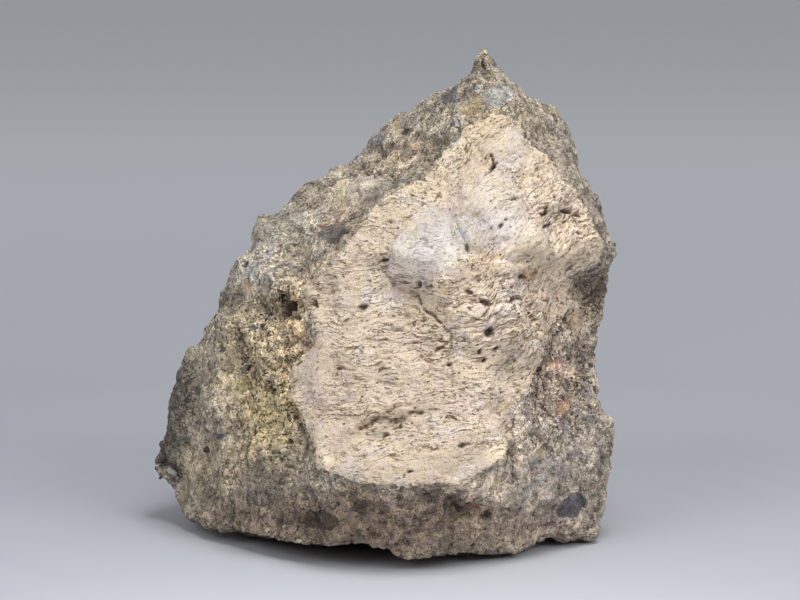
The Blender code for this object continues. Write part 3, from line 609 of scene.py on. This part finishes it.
def ash_relief(sheet, crumb):
    """Heights of the ash: big and small grains, dust and open pores, more of them where it crumbles."""
    points = sheet.points
    pores = ramp(rough(points, 1.5, 2, 5), 0.25, 0.5)
    return (
        0.2 + 0.5 * rough(points, 7, 2, 3) + 0.42 * grains(points, 4.2)
        + (0.26 + 0.3 * crumb) * grains(points, 1.9, 11)
        + (0.24 + 0.16 * crumb) * rough(points, 1, 2, 7)
        - (0.35 + 0.3 * crumb) * pores
    )


def pumice_relief(sheet, fibre, calm, torn):
    """Heights of the pumice: soft waves, and fibres and flat bubbles where it isn't calm."""
    points = sheet.points
    fibres = 1 - 2.2 * np.abs(rough(fibre / np.array(FIBRE), 1))
    threads = rough(fibre / np.array(THREAD), 1, 2)
    bubbles = ramp(rough(fibre / np.array(BUBBLE), 1, 1, 9), 0.28, 0.55)
    lively = 1 - 0.7 * calm + 1.6 * torn
    return (
        0.35 * rough(points, 9, 2) + 0.22 * rough(points, 3.5, 2, 6) * lively
        + lively * (0.09 * fibres + 0.15 * threads - 0.32 * bubbles) + 0.1 * rough(points, 0.9)
    )


def base_surface():
    """The stone's surface in millimetres, with its facets softened."""
    points, faces = welded(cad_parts["tuff"])
    for edge in BASE_EDGES:
        points, faces = refined(points, faces, lambda middles: np.full(len(middles), edge))
        points = smoothed(points, faces, BASE_SMOOTHING)
    return pulled(points), faces


def pulled(points):
    """The points with the small changes of the outline."""
    across, up, _ = sighted(points)
    for pull in PULLS:
        share = 1 - ramp(from_middle(across, up, pull), *PULL_SIDES)
        points = points + share[:, None] * (pull[5] * ACROSS + pull[6] * UP)
    return points


def make_ash(base):
    """The whole stone but the pumice, sunk under the pumice."""
    sheet = Sheet(*refined(*base, ash_edge))
    crumb = sheet.share(CRUMBLY)
    fine = ash_relief(sheet, crumb)
    depth, dark = sheet.hollows()
    sink = ASH_SINK * ramp(sheet.inside, *SINK_SIDES)
    height = fine + sheet.lumps() - depth - sink
    placed = sheet.points + sheet.outward * height[:, None]
    placed[:, 2] = np.maximum(placed[:, 2], 0)
    ash = mesh_object("tuff_ash", placed, sheet.faces)
    add_layers(ash, sheet, relief=fine, dark=dark, crumb=crumb)
    return ash, sheet, placed


def make_pumice(base):
    """The pumice block: its weathered face, and a plain back inside the stone."""
    points, faces = refined(*base, pumice_edge)
    across, up, _ = sighted(points)
    near = outline_distance(across, up) > -PUMICE_MARGIN - 1
    whole = Sheet(points, faces)
    kept = faces[(whole.inside[faces] > -PUMICE_MARGIN).any(axis=1) & near[faces].all(axis=1)]
    used, kept = np.unique(kept, return_inverse=True)
    kept = kept.reshape(-1, 3)
    sheet = whole.part(used, kept)
    calm = sheet.share(CALM, CALM_SIDES)
    fibre = fibre_place(sheet)
    torn = sheet.share(TORN)
    fine = pumice_relief(sheet, fibre, calm, torn)
    depth, dark = sheet.hollows()
    proud = PROUD * sheet.share(PROUD_RIM)
    dive = PUMICE_DIVE * ramp(-sheet.inside, DIVE_FROM, PUMICE_MARGIN)
    height = fine + sheet.lumps() + proud - depth - dive
    placed = sheet.points + sheet.outward * height[:, None]
    back = SIGHT_CENTRE + np.array(PUMICE_BACK) @ np.stack([ACROSS, UP, TOWARD])
    closed = np.concatenate([kept, closing(kept, len(placed))])
    pumice = mesh_object("pumice_block", np.concatenate([placed, back[None]]), closed)
    add_layers(pumice, sheet, relief=fine, dark=dark, calm=calm, torn=torn, fibre=fibre)
    return pumice


def closing(faces, middle):
    """Triangles from every open edge of these faces to one point, whose number is `middle`."""
    sides = faces[:, [[0, 1], [1, 2], [2, 0]]].reshape(-1, 2)
    both_ways = {tuple(side) for side in sides.tolist()}
    open_sides = [(a, b) for a, b in both_ways if (b, a) not in both_ways]
    return np.array([(b, a, middle) for a, b in sorted(open_sides)])


LAYER_KINDS = {1: ("FLOAT", "value"), 3: ("FLOAT_VECTOR", "vector"), 4: ("FLOAT_COLOR", "color")}


def add_layer(piece, name, values):
    """Keeps values for a material at the piece's points, and 0 at those past the last value."""
    width = values.size // len(values)
    filled = np.zeros((len(piece.data.vertices), width), np.float32)
    filled[:len(values)] = values.reshape(-1, width)
    kind, field = LAYER_KINDS[width]
    piece.data.attributes.new(name, kind, "POINT").data.foreach_set(field, filled.ravel())


def add_layers(piece, sheet, **values):
    """Keeps what the materials need at each point: the patch colours, the tones with their painted light
    and shade, and these values.
    """
    colours, patch_edge = sheet.patches()
    values.update(patch_edge=patch_edge, patch=colours, tone=sheet.tone())
    for name, layer in values.items():
        add_layer(piece, name, layer)


def added(name, data):
    """A new object in the scene."""
    made = bpy.data.objects.new(name, data)
    bpy.context.scene.collection.objects.link(made)
    return made


def mesh_object(name, points, faces):
    """An object with a smooth-shaded mesh of these points, in millimetres, and faces."""
    mesh = bpy.data.meshes.new(name)
    mesh.from_pydata((points * MM).tolist(), [], faces.tolist())
    mesh.shade_smooth()
    return added(name, mesh)


# --- Materials ---

# How quickly ledges bend and break off along, across and into the fibres, for ledges 1 mm apart.
LEDGE_BEND, LEDGE_BREAK = (0.28, 0.9, 0.6), (0.44, 1.4, 1)


class Nodes:
    """The node tree of a new material or world, with short ways to add nodes."""

    def __init__(self, name, kind="materials"):
        self.owner = getattr(bpy.data, kind).new(name)
        self.owner.use_nodes = True
        self.tree = self.owner.node_tree
        self.tree.nodes.clear()

    def add(self, kind, sockets=None, **settings):
        """A new node. A socket's value is a number, a colour or another node's output."""
        node = self.tree.nodes.new("ShaderNode" + kind)
        for setting, value in settings.items():
            setattr(node, setting, value)
        for key, value in (sockets or {}).items():
            if isinstance(value, bpy.types.NodeSocket):
                self.tree.links.new(value, node.inputs[key])
            else:
                node.inputs[key].default_value = value
        return node

    def math(self, operation, a, b=0, c=0):
        return self.add("Math", {0: a, 1: b, 2: c}, operation=operation).outputs[0]

    def times(self, a, b):
        return self.math("MULTIPLY", a, b)

    def mix(self, factor, a, b, blend="MIX"):
        """A blend of two colours."""
        a, b = (v if isinstance(v, bpy.types.NodeSocket) else (*v[:3], 1) for v in (a, b))
        node = self.add("Mix", {0: factor, 6: a, 7: b}, data_type="RGBA", blend_type=blend)
        return node.outputs[2]

    def step(self, value, low, high, to_low=0, to_high=1):
        """Goes smoothly from `to_low` where the value is `low` to `to_high` where it is `high`."""
        sockets = {"Value": value, 1: low, 2: high, 3: to_low, 4: to_high}
        return self.add("MapRange", sockets, interpolation_type="SMOOTHSTEP").outputs[0]

    def attribute(self, name, output="Fac"):
        return self.add("Attribute", attribute_name=name).outputs[output]

    def noise(self, place, size, detail=2, roughness=0.6):
        """Noise from 0 to 1 with lumps of this size."""
        sockets = {"Vector": place, "Scale": 1 / size, "Detail": detail, "Roughness": roughness}
        return self.add("TexNoise", sockets).outputs[0]

    def warped(self, place, size, reach):
        """The place shifted about by up to half of `reach`."""
        shift = self.add("TexNoise", {"Vector": place, "Scale": 1 / size}).outputs["Color"]
        shift = {0: self.moved(shift, (-0.5,) * 3), 1: (reach,) * 3, 2: place}
        return self.add("VectorMath", shift, operation="MULTIPLY_ADD").outputs[0]

    def ledges(self, place, gap, width, share):
        """Thin broken lines along the place's first axis, about `gap` apart, like shadows under ledges."""
        bend = self.noise(self.stretched(place, [factor / gap for factor in LEDGE_BEND]), 1, 2)
        aside = self.add("SeparateXYZ", {0: place}).outputs[1]
        rank = self.math("MULTIPLY_ADD", bend, 3.6, self.math("DIVIDE", aside, gap))
        off = self.math("ABSOLUTE", self.math("SUBTRACT", self.math("FRACT", rank), 0.5))
        off = self.times(off, gap)
        elsewhere = self.moved(place, (31, 17, 5))
        broken = self.noise(self.stretched(elsewhere, [factor / gap for factor in LEDGE_BREAK]), 1)
        gone = self.step(broken, share - 0.06, share + 0.06)
        return self.step(self.math("MULTIPLY_ADD", gone, width, off), width, 0.4 * width)

    def cells(self, place, size, feature="F1"):
        """Random cells: the distance from their middle, or from their edge, and their random colour."""
        sockets = {"Vector": place, "Scale": 1 / size}
        return self.add("TexVoronoi", sockets, feature=feature).outputs[:2]

    def stops(self, value, stops):
        """The colour at this value on a scale of (place, colour) stops."""
        node = self.add("ValToRGB", {0: value})
        elements = node.color_ramp.elements
        while len(elements) < len(stops):
            elements.new(0.5)
        for element, (place, colour) in zip(elements, stops):
            element.position = place
            element.color = (*srgb(*colour), 1)
        return node.outputs[0]

    def channel(self, colour, name):
        return self.add("SeparateColor", {0: colour}).outputs[name]

    def stretched(self, place, factors):
        return self.add("VectorMath", {0: place, 1: factors}, operation="MULTIPLY").outputs[0]

    def moved(self, place, offset):
        return self.add("VectorMath", {0: place, 1: offset}, operation="ADD").outputs[0]

    def scaled(self, colour, factor):
        """A colour made lighter or darker."""
        return self.add("VectorMath", {0: colour, "Scale": factor}, operation="SCALE").outputs[0]

    def place(self):
        """The place on the stone in millimetres."""
        return self.stretched(self.add("TexCoord").outputs["Object"], (1 / MM,) * 3)

    def finish(self, colour, height, relief, roughness=0.92):
        """Ends the tree in a dull stone whose small relief is this many millimetres."""
        bump = self.add("Bump", {"Strength": 1, "Distance": relief * MM, "Height": height}).outputs[0]
        shader = self.add("BsdfPrincipled", {
            "Base Color": colour, "Roughness": roughness, "Specular IOR Level": 0.25, "Normal": bump,
        })
        self.add("OutputMaterial", {"Surface": shader.outputs[0]})
        return self.owner


# Colours along a scale from 0 to 1: of the ash, of the fragments in it and of the pumice.
ASH_STOPS = [
    (0.3, (156, 149, 144)), (0.43, (194, 180, 166)), (0.53, (220, 206, 178)), (0.66, (230, 208, 192)),
]
FRAGMENT_STOPS = [
    (0, (86, 82, 80)), (0.14, (130, 123, 118)), (0.3, (172, 156, 142)), (0.42, (178, 176, 174)),
    (0.55, (207, 190, 170)), (0.7, (214, 196, 182)), (0.84, (224, 213, 194)), (1, (228, 224, 218)),
]
PUMICE_STOPS = [
    (0.3, (227, 205, 189)), (0.42, (229, 208, 188)), (0.52, (230, 211, 182)), (0.62, (227, 211, 196)),
]
PUMICE_SHADOW = srgb(108, 84, 62)
# The painted shade in pores, gaps between grains, bubbles, pits and cracks.
HOLE_SHADE = srgb(52, 43, 36)

# The ash's grains: size and contrast. Its fragments: size, share left out, radius in sizes and strength. Its
# gaps: size of the grains, place in the noise and size of the clumps.
ASH_GRAINS = [(0.42, 0.55), (0.75, 0.5), (1.4, 0.55)]
ASH_FRAGMENTS = [(1.4, 0.6, 0.5, 0.5), (2.6, 0.7, 0.42, 0.65), (5, 0.75, 0.4, 0.6)]
ASH_GAPS = [(0.75, 3, 2.4), (1.4, 9, 1.5)]

# The pumice's ledges: gap, width and share. Its bubbles: size, share left out and radius in sizes.
STROKES = (1.5, 0.24, 0.51)
HAIRS = [(0.9, 0.16, 0.5), (0.55, 0.12, 0.47)]
PUMICE_BUBBLES = [(1.3, 0.86, 0.2), (0.62, 0.86, 0.32)]


def finished_stone(nodes, colour, detail, height, relief, low, high, least=0.62):
    """The material with the named patches, tones, hollows and relief laid over its colour. `detail`
    makes the patches as lively as what is around them. The tones carry painted light and shade and the
    hollows painted shade. Relief below `low` is darkened to `least` and relief above `high` a little
    lightened: painted shade in the low places and painted light on the high ones."""
    ragged = nodes.math("MULTIPLY_ADD", nodes.noise(nodes.place(), 1, 4, 0.7), 1, -0.5)
    patch_edge = nodes.math("ADD", nodes.attribute("patch_edge"), ragged)
    within = nodes.step(patch_edge, -0.15, 0.25)
    strength = nodes.times(within, nodes.attribute("patch", "Alpha"))
    clouds = nodes.step(nodes.noise(nodes.place(), 1.4, 3), 0.35, 0.6, 0.78, 1.08)
    mottled = nodes.times(detail, clouds)
    colour = nodes.mix(strength, colour, nodes.scaled(nodes.attribute("patch", "Color"), mottled))
    # The tones multiply in painted light and shade along with the stone's own colour.
    colour = nodes.mix(1, colour, nodes.attribute("tone", "Color"), "MULTIPLY")
    # Painted shade where the relief is low and a little painted light where it is high.
    colour = nodes.scaled(colour, nodes.step(nodes.attribute("relief"), low, high, least, 1.08))
    # Painted shade in the pits and cracks.
    colour = nodes.mix(nodes.times(nodes.attribute("dark"), 0.85), colour, HOLE_SHADE)
    return nodes.finish(colour, height, relief)


def ash_colour(nodes, place, warped):
    """The colour of the ash: grains of every brown and grey in clumps, and fragments up to 6 mm."""
    colour = nodes.stops(nodes.noise(place, 3.4, 4, 0.7), ASH_STOPS)
    coarse = nodes.step(nodes.noise(place, 3.6, 3), 0.38, 0.58, 0.5, 1)
    for size, contrast in ASH_GRAINS:
        grain = nodes.math("SUBTRACT", nodes.channel(nodes.cells(warped, size)[1], 0), 0.5)
        grain = nodes.times(grain, coarse)
        colour = nodes.scaled(colour, nodes.math("MULTIPLY_ADD", grain, contrast, 1))
    for size, left_out, radius, strength in ASH_FRAGMENTS:
        distance, random = nodes.cells(warped, size)
        chosen = nodes.math("GREATER_THAN", nodes.channel(random, 1), left_out)
        within = nodes.times(chosen, nodes.step(distance, radius, radius - 0.06))
        fragment = nodes.stops(nodes.channel(random, 2), FRAGMENT_STOPS)
        colour = nodes.mix(nodes.times(within, strength), colour, fragment)
    return colour


def ash_gaps(nodes, place, warped):
    """The gaps between the grains of the ash, open in clumps, where painted shade goes, and how round the
    grains stand.
    """
    gaps, rounding = 0, 0
    for size, shift, clump in ASH_GAPS:
        seam = nodes.cells(warped, size, "DISTANCE_TO_EDGE")[0]
        open_seam = nodes.step(nodes.noise(nodes.moved(place, (shift,) * 3), clump, 4), 0.52, 0.6)
        gaps = nodes.math("MAXIMUM", gaps, nodes.times(nodes.step(seam, 0.11, 0.04), open_seam))
        rounding = nodes.math("ADD", rounding, nodes.step(seam, 0, 0.24))
    return gaps, rounding


def ash_material():
    """Ash: grains and fragments, with painted shade in its gaps and pores, more of them where it crumbles.
    """
    nodes = Nodes("ash_rock")
    place = nodes.place()
    warped = nodes.warped(place, 0.8, 0.7)
    crumb = nodes.attribute("crumb")
    fine = nodes.noise(place, 0.28, 2, 0.8)
    detail = nodes.step(fine, 0.36, 0.54, 0.66, 1.17)
    colour = nodes.scaled(ash_colour(nodes, place, warped), detail)
    gaps, rounding = ash_gaps(nodes, place, warped)
    low = nodes.math("SUBTRACT", nodes.noise(place, 0.7, 2, 0.6), nodes.times(crumb, 0.05))
    pores = nodes.math("MAXIMUM", nodes.step(low, 0.36, 0.33), nodes.times(gaps, 0.9))
    pores = nodes.times(pores, nodes.math("MULTIPLY_ADD", crumb, 0.2, 0.7))
    # Painted shade in the pores and in the gaps between the grains.
    colour = nodes.mix(pores, colour, HOLE_SHADE)
    rounding = nodes.times(rounding, nodes.math("MULTIPLY_ADD", crumb, 0.5, 0.4))
    height = nodes.math("MULTIPLY_ADD", pores, -1, nodes.math("ADD", fine, rounding))
    return finished_stone(nodes, colour, detail, height, 0.32, -0.9, 0.6)


def pumice_ledges(nodes, place, fibre, lively):
    """The shadows along the pumice's fibres: broad strokes and fine hairs, denser in some places."""
    dense = nodes.step(nodes.noise(place, 3.4, 3), 0.38, 0.62, 0.3, 1)
    dense = nodes.times(lively, nodes.math("MAXIMUM", dense, nodes.attribute("torn")))
    strokes = nodes.ledges(fibre, *STROKES)
    hairs = nodes.math("MAXIMUM", *(nodes.ledges(fibre, *kind) for kind in HAIRS))
    return nodes.times(strokes, dense), nodes.times(hairs, dense)


def pumice_bubbles(nodes, fibre, lively):
    """The small bubbles of the pumice, which get painted shade, fewer where it is calm."""
    bubble = 0
    for size, left_out, radius in PUMICE_BUBBLES:
        distance, random = nodes.cells(nodes.stretched(fibre, (0.6, 1.15, 1)), size)
        chosen = nodes.math("GREATER_THAN", nodes.channel(random, 0), left_out)
        spot = nodes.times(chosen, nodes.step(distance, radius, radius - 0.1))
        bubble = nodes.math("MAXIMUM", bubble, spot)
    return nodes.times(bubble, nodes.math("MULTIPLY_ADD", lively, 0.5, 0.4))


def pumice_material():
    """Pumice: pale cream, with thin lines of painted shadow along its fibres and painted shade in small
    bubbles.
    """
    nodes = Nodes("cream_pumice")
    place = nodes.place()
    fibre = nodes.warped(nodes.attribute("fibre", "Vector"), 1, 0.42)
    lively = nodes.step(nodes.attribute("calm"), 0, 1, 1, 0.5)
    fine = nodes.noise(place, 0.28, 2, 0.8)
    colour = nodes.stops(nodes.noise(place, 6, 4, 0.6), PUMICE_STOPS)
    strokes, hairs = pumice_ledges(nodes, place, fibre, lively)
    colour = nodes.mix(nodes.times(hairs, 0.65), colour, PUMICE_SHADOW)
    colour = nodes.mix(nodes.times(strokes, 0.8), colour, PUMICE_SHADOW)
    bubble = pumice_bubbles(nodes, fibre, lively)
    # Painted shade in the bubbles.
    colour = nodes.mix(nodes.times(bubble, 0.85), colour, HOLE_SHADE)
    detail = nodes.step(fine, 0.36, 0.5, 0.68, 1.05)
    colour = nodes.scaled(colour, detail)
    lines = nodes.math("ADD", strokes, hairs)
    height = nodes.math("MULTIPLY_ADD", lines, -0.9, nodes.times(fine, 0.6))
    height = nodes.math("SUBTRACT", height, bubble)
    return finished_stone(nodes, colour, detail, height, 0.2, -1.2, 0.2, 0.8)


# --- Fragments ---

# The number of fragments, their smallest and largest radius, and by how much the small ones prevail.
FRAGMENT_SEED = 7
FRAGMENT_COUNT = 2400
FRAGMENT_RADII = (0.4, 1.5)
MOSTLY_SMALL = 2.2
FRAGMENT_COLOURS = [
    (92, 88, 84), (128, 120, 112), (150, 140, 128), (172, 160, 144), (188, 174, 152), (206, 192, 166),
    (210, 203, 192), (186, 166, 146), (126, 126, 126), (196, 184, 156),
]

# Fragments sit this far outside the pumice and the patches, between these heights, and are more frequent by
# this factor where the ash crumbles. No point of theirs is lower than the last height.
CLEAR_OF_PUMICE, CLEAR_OF_PATCHES = 1.6, 0.6
LOWEST, HIGHEST = 2.5, 90
CRUMB_SHARE = 3
FRAGMENT_FLOOR = 0.3

# A fragment is a ball of radius 1 with this many sides broken off this far out. It is stretched by these
# factors and sunk by these shares of its radius, by less where the ash crumbles.
BROKEN_SIDES = 7
BREAKS = (0.3, 0.8)
STRETCH = (0.65, 1.15)
SUNK, LESS_SUNK = (0.5, 0.85), 0.2

# It takes this power of the ash's tones, painted light and shade included, and is darkened by one of
# these factors.
TONE_POWER = 0.6
SHADES = (0.7, 1)


def fragment_ball():
    """The points and triangles of a ball of radius 1."""
    work = bmesh.new()
    bmesh.ops.create_icosphere(work, subdivisions=2, radius=1)
    return arrays(work)


def fragment_hosts(random, sheet, placed, crumb):
    """The numbers of the points of the ash that the fragments sit on."""
    allowed = (placed[:, 2] > LOWEST) & (placed[:, 2] < HIGHEST)
    allowed &= (sheet.inside < -CLEAR_OF_PUMICE) & (sheet.patches()[1] < -CLEAR_OF_PATCHES)
    area = np.linalg.norm(face_directions(placed, sheet.faces), axis=1)
    chance = gathered(sheet.faces, area, len(placed)) * allowed * (1 + CRUMB_SHARE * crumb)
    return random.choice(len(placed), FRAGMENT_COUNT, replace=False, p=chance / chance.sum())


def broken(random, ball, radius):
    """The ball's points with its sides broken off, stretched and turned, at this radius."""
    shape = ball.copy()
    for _ in range(BROKEN_SIDES):
        side = random.normal(size=3)
        side /= np.linalg.norm(side)
        over = np.maximum(shape @ side - random.uniform(*BREAKS), 0)
        shape -= over[:, None] * side
    axes = np.linalg.qr(random.normal(size=(3, 3)))[0]
    return shape * random.uniform(*STRETCH, 3) @ axes * radius


def make_fragments(sheet, placed):
    """Broken bits of other rock, half sunk in the ash."""
    random = np.random.default_rng(FRAGMENT_SEED)
    crumb = sheet.share(CRUMBLY)
    hosts = fragment_hosts(random, sheet, placed, crumb)
    smallest, largest = FRAGMENT_RADII
    radii = smallest * (largest / smallest) ** (random.random(FRAGMENT_COUNT) ** MOSTLY_SMALL)
    tones_and_painted_light = sheet.tone()[hosts] ** TONE_POWER
    ball, ball_faces = fragment_ball()
    points, colours = [], []
    for host, radius, tone in zip(hosts, radii, tones_and_painted_light):
        shape = broken(random, ball, radius)
        sunk = random.uniform(*SUNK) - LESS_SUNK * crumb[host]
        points.append(shape + placed[host] - sheet.outward[host] * radius * sunk)
        colour = np.array(srgb(*FRAGMENT_COLOURS[random.integers(len(FRAGMENT_COLOURS))]))
        # The fragment takes on the painted light and shade of the ash's tones where it sits.
        colour = colour * tone * random.uniform(*SHADES)
        colours.append(np.tile((*colour, 1), (len(ball), 1)))
    points = np.concatenate(points)
    points[:, 2] = np.maximum(points[:, 2], FRAGMENT_FLOOR)
    starts = np.arange(FRAGMENT_COUNT) * len(ball)
    faces = (ball_faces[None] + starts[:, None, None]).reshape(-1, 3)
    fragments = mesh_object("rock_fragments", points, faces)
    fragments.data.shade_flat()
    add_layer(fragments, "stone", np.concatenate(colours))
    return fragments


def fragment_material():
    """Fragments: each of one colour, finely speckled."""
    nodes = Nodes("rock_fragment")
    place = nodes.place()
    fine = nodes.noise(place, 0.3, 3, 0.75)
    colour = nodes.scaled(nodes.attribute("stone", "Color"), nodes.step(fine, 0.3, 0.7, 0.55, 1.35))
    return nodes.finish(colour, fine, 0.2)


# --- Floor, light and camera ---

# Half the floor's width, and its colours outward over this reach from a centre at minus this offset. The
# colours are painted light and shade: brightest in front of the stone, dimmer around and behind it, and
# lighter again far off.
FLOOR_HALF = 9000
FLOOR_PAINTED_LIGHT_STOPS = [
    (0.08, (210, 212, 219)), (0.105, (198, 201, 208)), (0.13, (190, 193, 200)), (0.17, (184, 187, 194)),
    (0.21, (182, 185, 192)), (0.28, (184, 187, 194)), (0.41, (202, 205, 212)), (0.67, (232, 235, 242)),
    (0.92, (246, 249, 254)),
]
FLOOR_OFFSET = (0, 150, 0)
FLOOR_REACH = 1200

# The sky's strength from below and overhead, and its colour.
SKY_LOW, SKY_HIGH = 0.08, 0.46
SKY_COLOUR = (0.95, 0.975, 1, 1)

# The lights: name, place and size in metres, and power in watts. All are aimed at the last place.
LIGHTS = [
    ("panel", (0.09, -0.15, 0.5), 0.2, 1.25), ("left_fill", (-0.7, -0.78, 0.75), 0.6, 3.7),
    ("right_fill", (0.78, -0.72, 0.75), 0.6, 4.4),
]
LIGHTS_AIM = (0, 0, 0.03)


def make_floor():
    """A large pale floor, whose colour carries painted light and shade."""
    corners = FLOOR_HALF * np.array([(-1, -1, 0), (1, -1, 0), (1, 1, 0), (-1, 1, 0)])
    floor = mesh_object("floor", corners, np.arange(4)[None])
    nodes = Nodes("floor_paper")
    place = nodes.place()
    from_centre = nodes.moved(place, FLOOR_OFFSET)
    distance = nodes.add("VectorMath", {0: from_centre}, operation="LENGTH").outputs["Value"]
    # Painted light and shade on the floor, by distance from the centre.
    colour = nodes.stops(nodes.math("DIVIDE", distance, FLOOR_REACH), FLOOR_PAINTED_LIGHT_STOPS)
    floor.data.materials.append(nodes.finish(colour, nodes.noise(place, 0.6), 0.01, 0.85))


def make_light(name, place, size, power):
    """A soft square light."""
    data = bpy.data.lights.new(name, "AREA")
    data.shape, data.size, data.energy = "SQUARE", size, power
    light = added(name, data)
    light.location = place
    light.rotation_euler = (Vector(LIGHTS_AIM) - Vector(place)).to_track_quat("-Z", "Y").to_euler()


def make_world():
    """An even grey sky, brighter overhead."""
    nodes = Nodes("studio", "worlds")
    height = nodes.add("SeparateXYZ", {0: nodes.add("TexCoord").outputs["Generated"]}).outputs["Z"]
    strength = nodes.add("MapRange", {"Value": height, 3: SKY_LOW, 4: SKY_HIGH}).outputs[0]
    background = nodes.add("Background", {"Color": SKY_COLOUR, "Strength": strength})
    nodes.add("OutputWorld", {"Surface": background.outputs[0]})
    bpy.context.scene.world = nodes.owner


def make_camera():
    """A camera in the eye's place."""
    data = bpy.data.cameras.new("eye")
    data.sensor_width = SENSOR_WIDTH
    data.lens = SENSOR_WIDTH * SIGHT_DISTANCE / VIEW_WIDTH
    camera = added("eye", data)
    camera.location = Vector((SIGHT_CENTRE + TOWARD * SIGHT_DISTANCE) * MM)
    camera.rotation_euler = (math.pi / 2 - SIGHT_TILT, 0, 0)
    bpy.context.scene.camera = camera


base = base_surface()
ash, ash_sheet, ash_points = make_ash(base)
pumice = make_pumice(base)
fragments = make_fragments(ash_sheet, ash_points)
for piece, material in (
    (ash, ash_material()), (pumice, pumice_material()), (fragments, fragment_material()),
):
    piece.data.materials.append(material)
    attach(piece, "root")
    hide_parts("tuff")

make_floor()
make_world()
for light in LIGHTS:
    make_light(*light)
make_camera()
bpy.context.scene.view_settings.view_transform = "Standard"
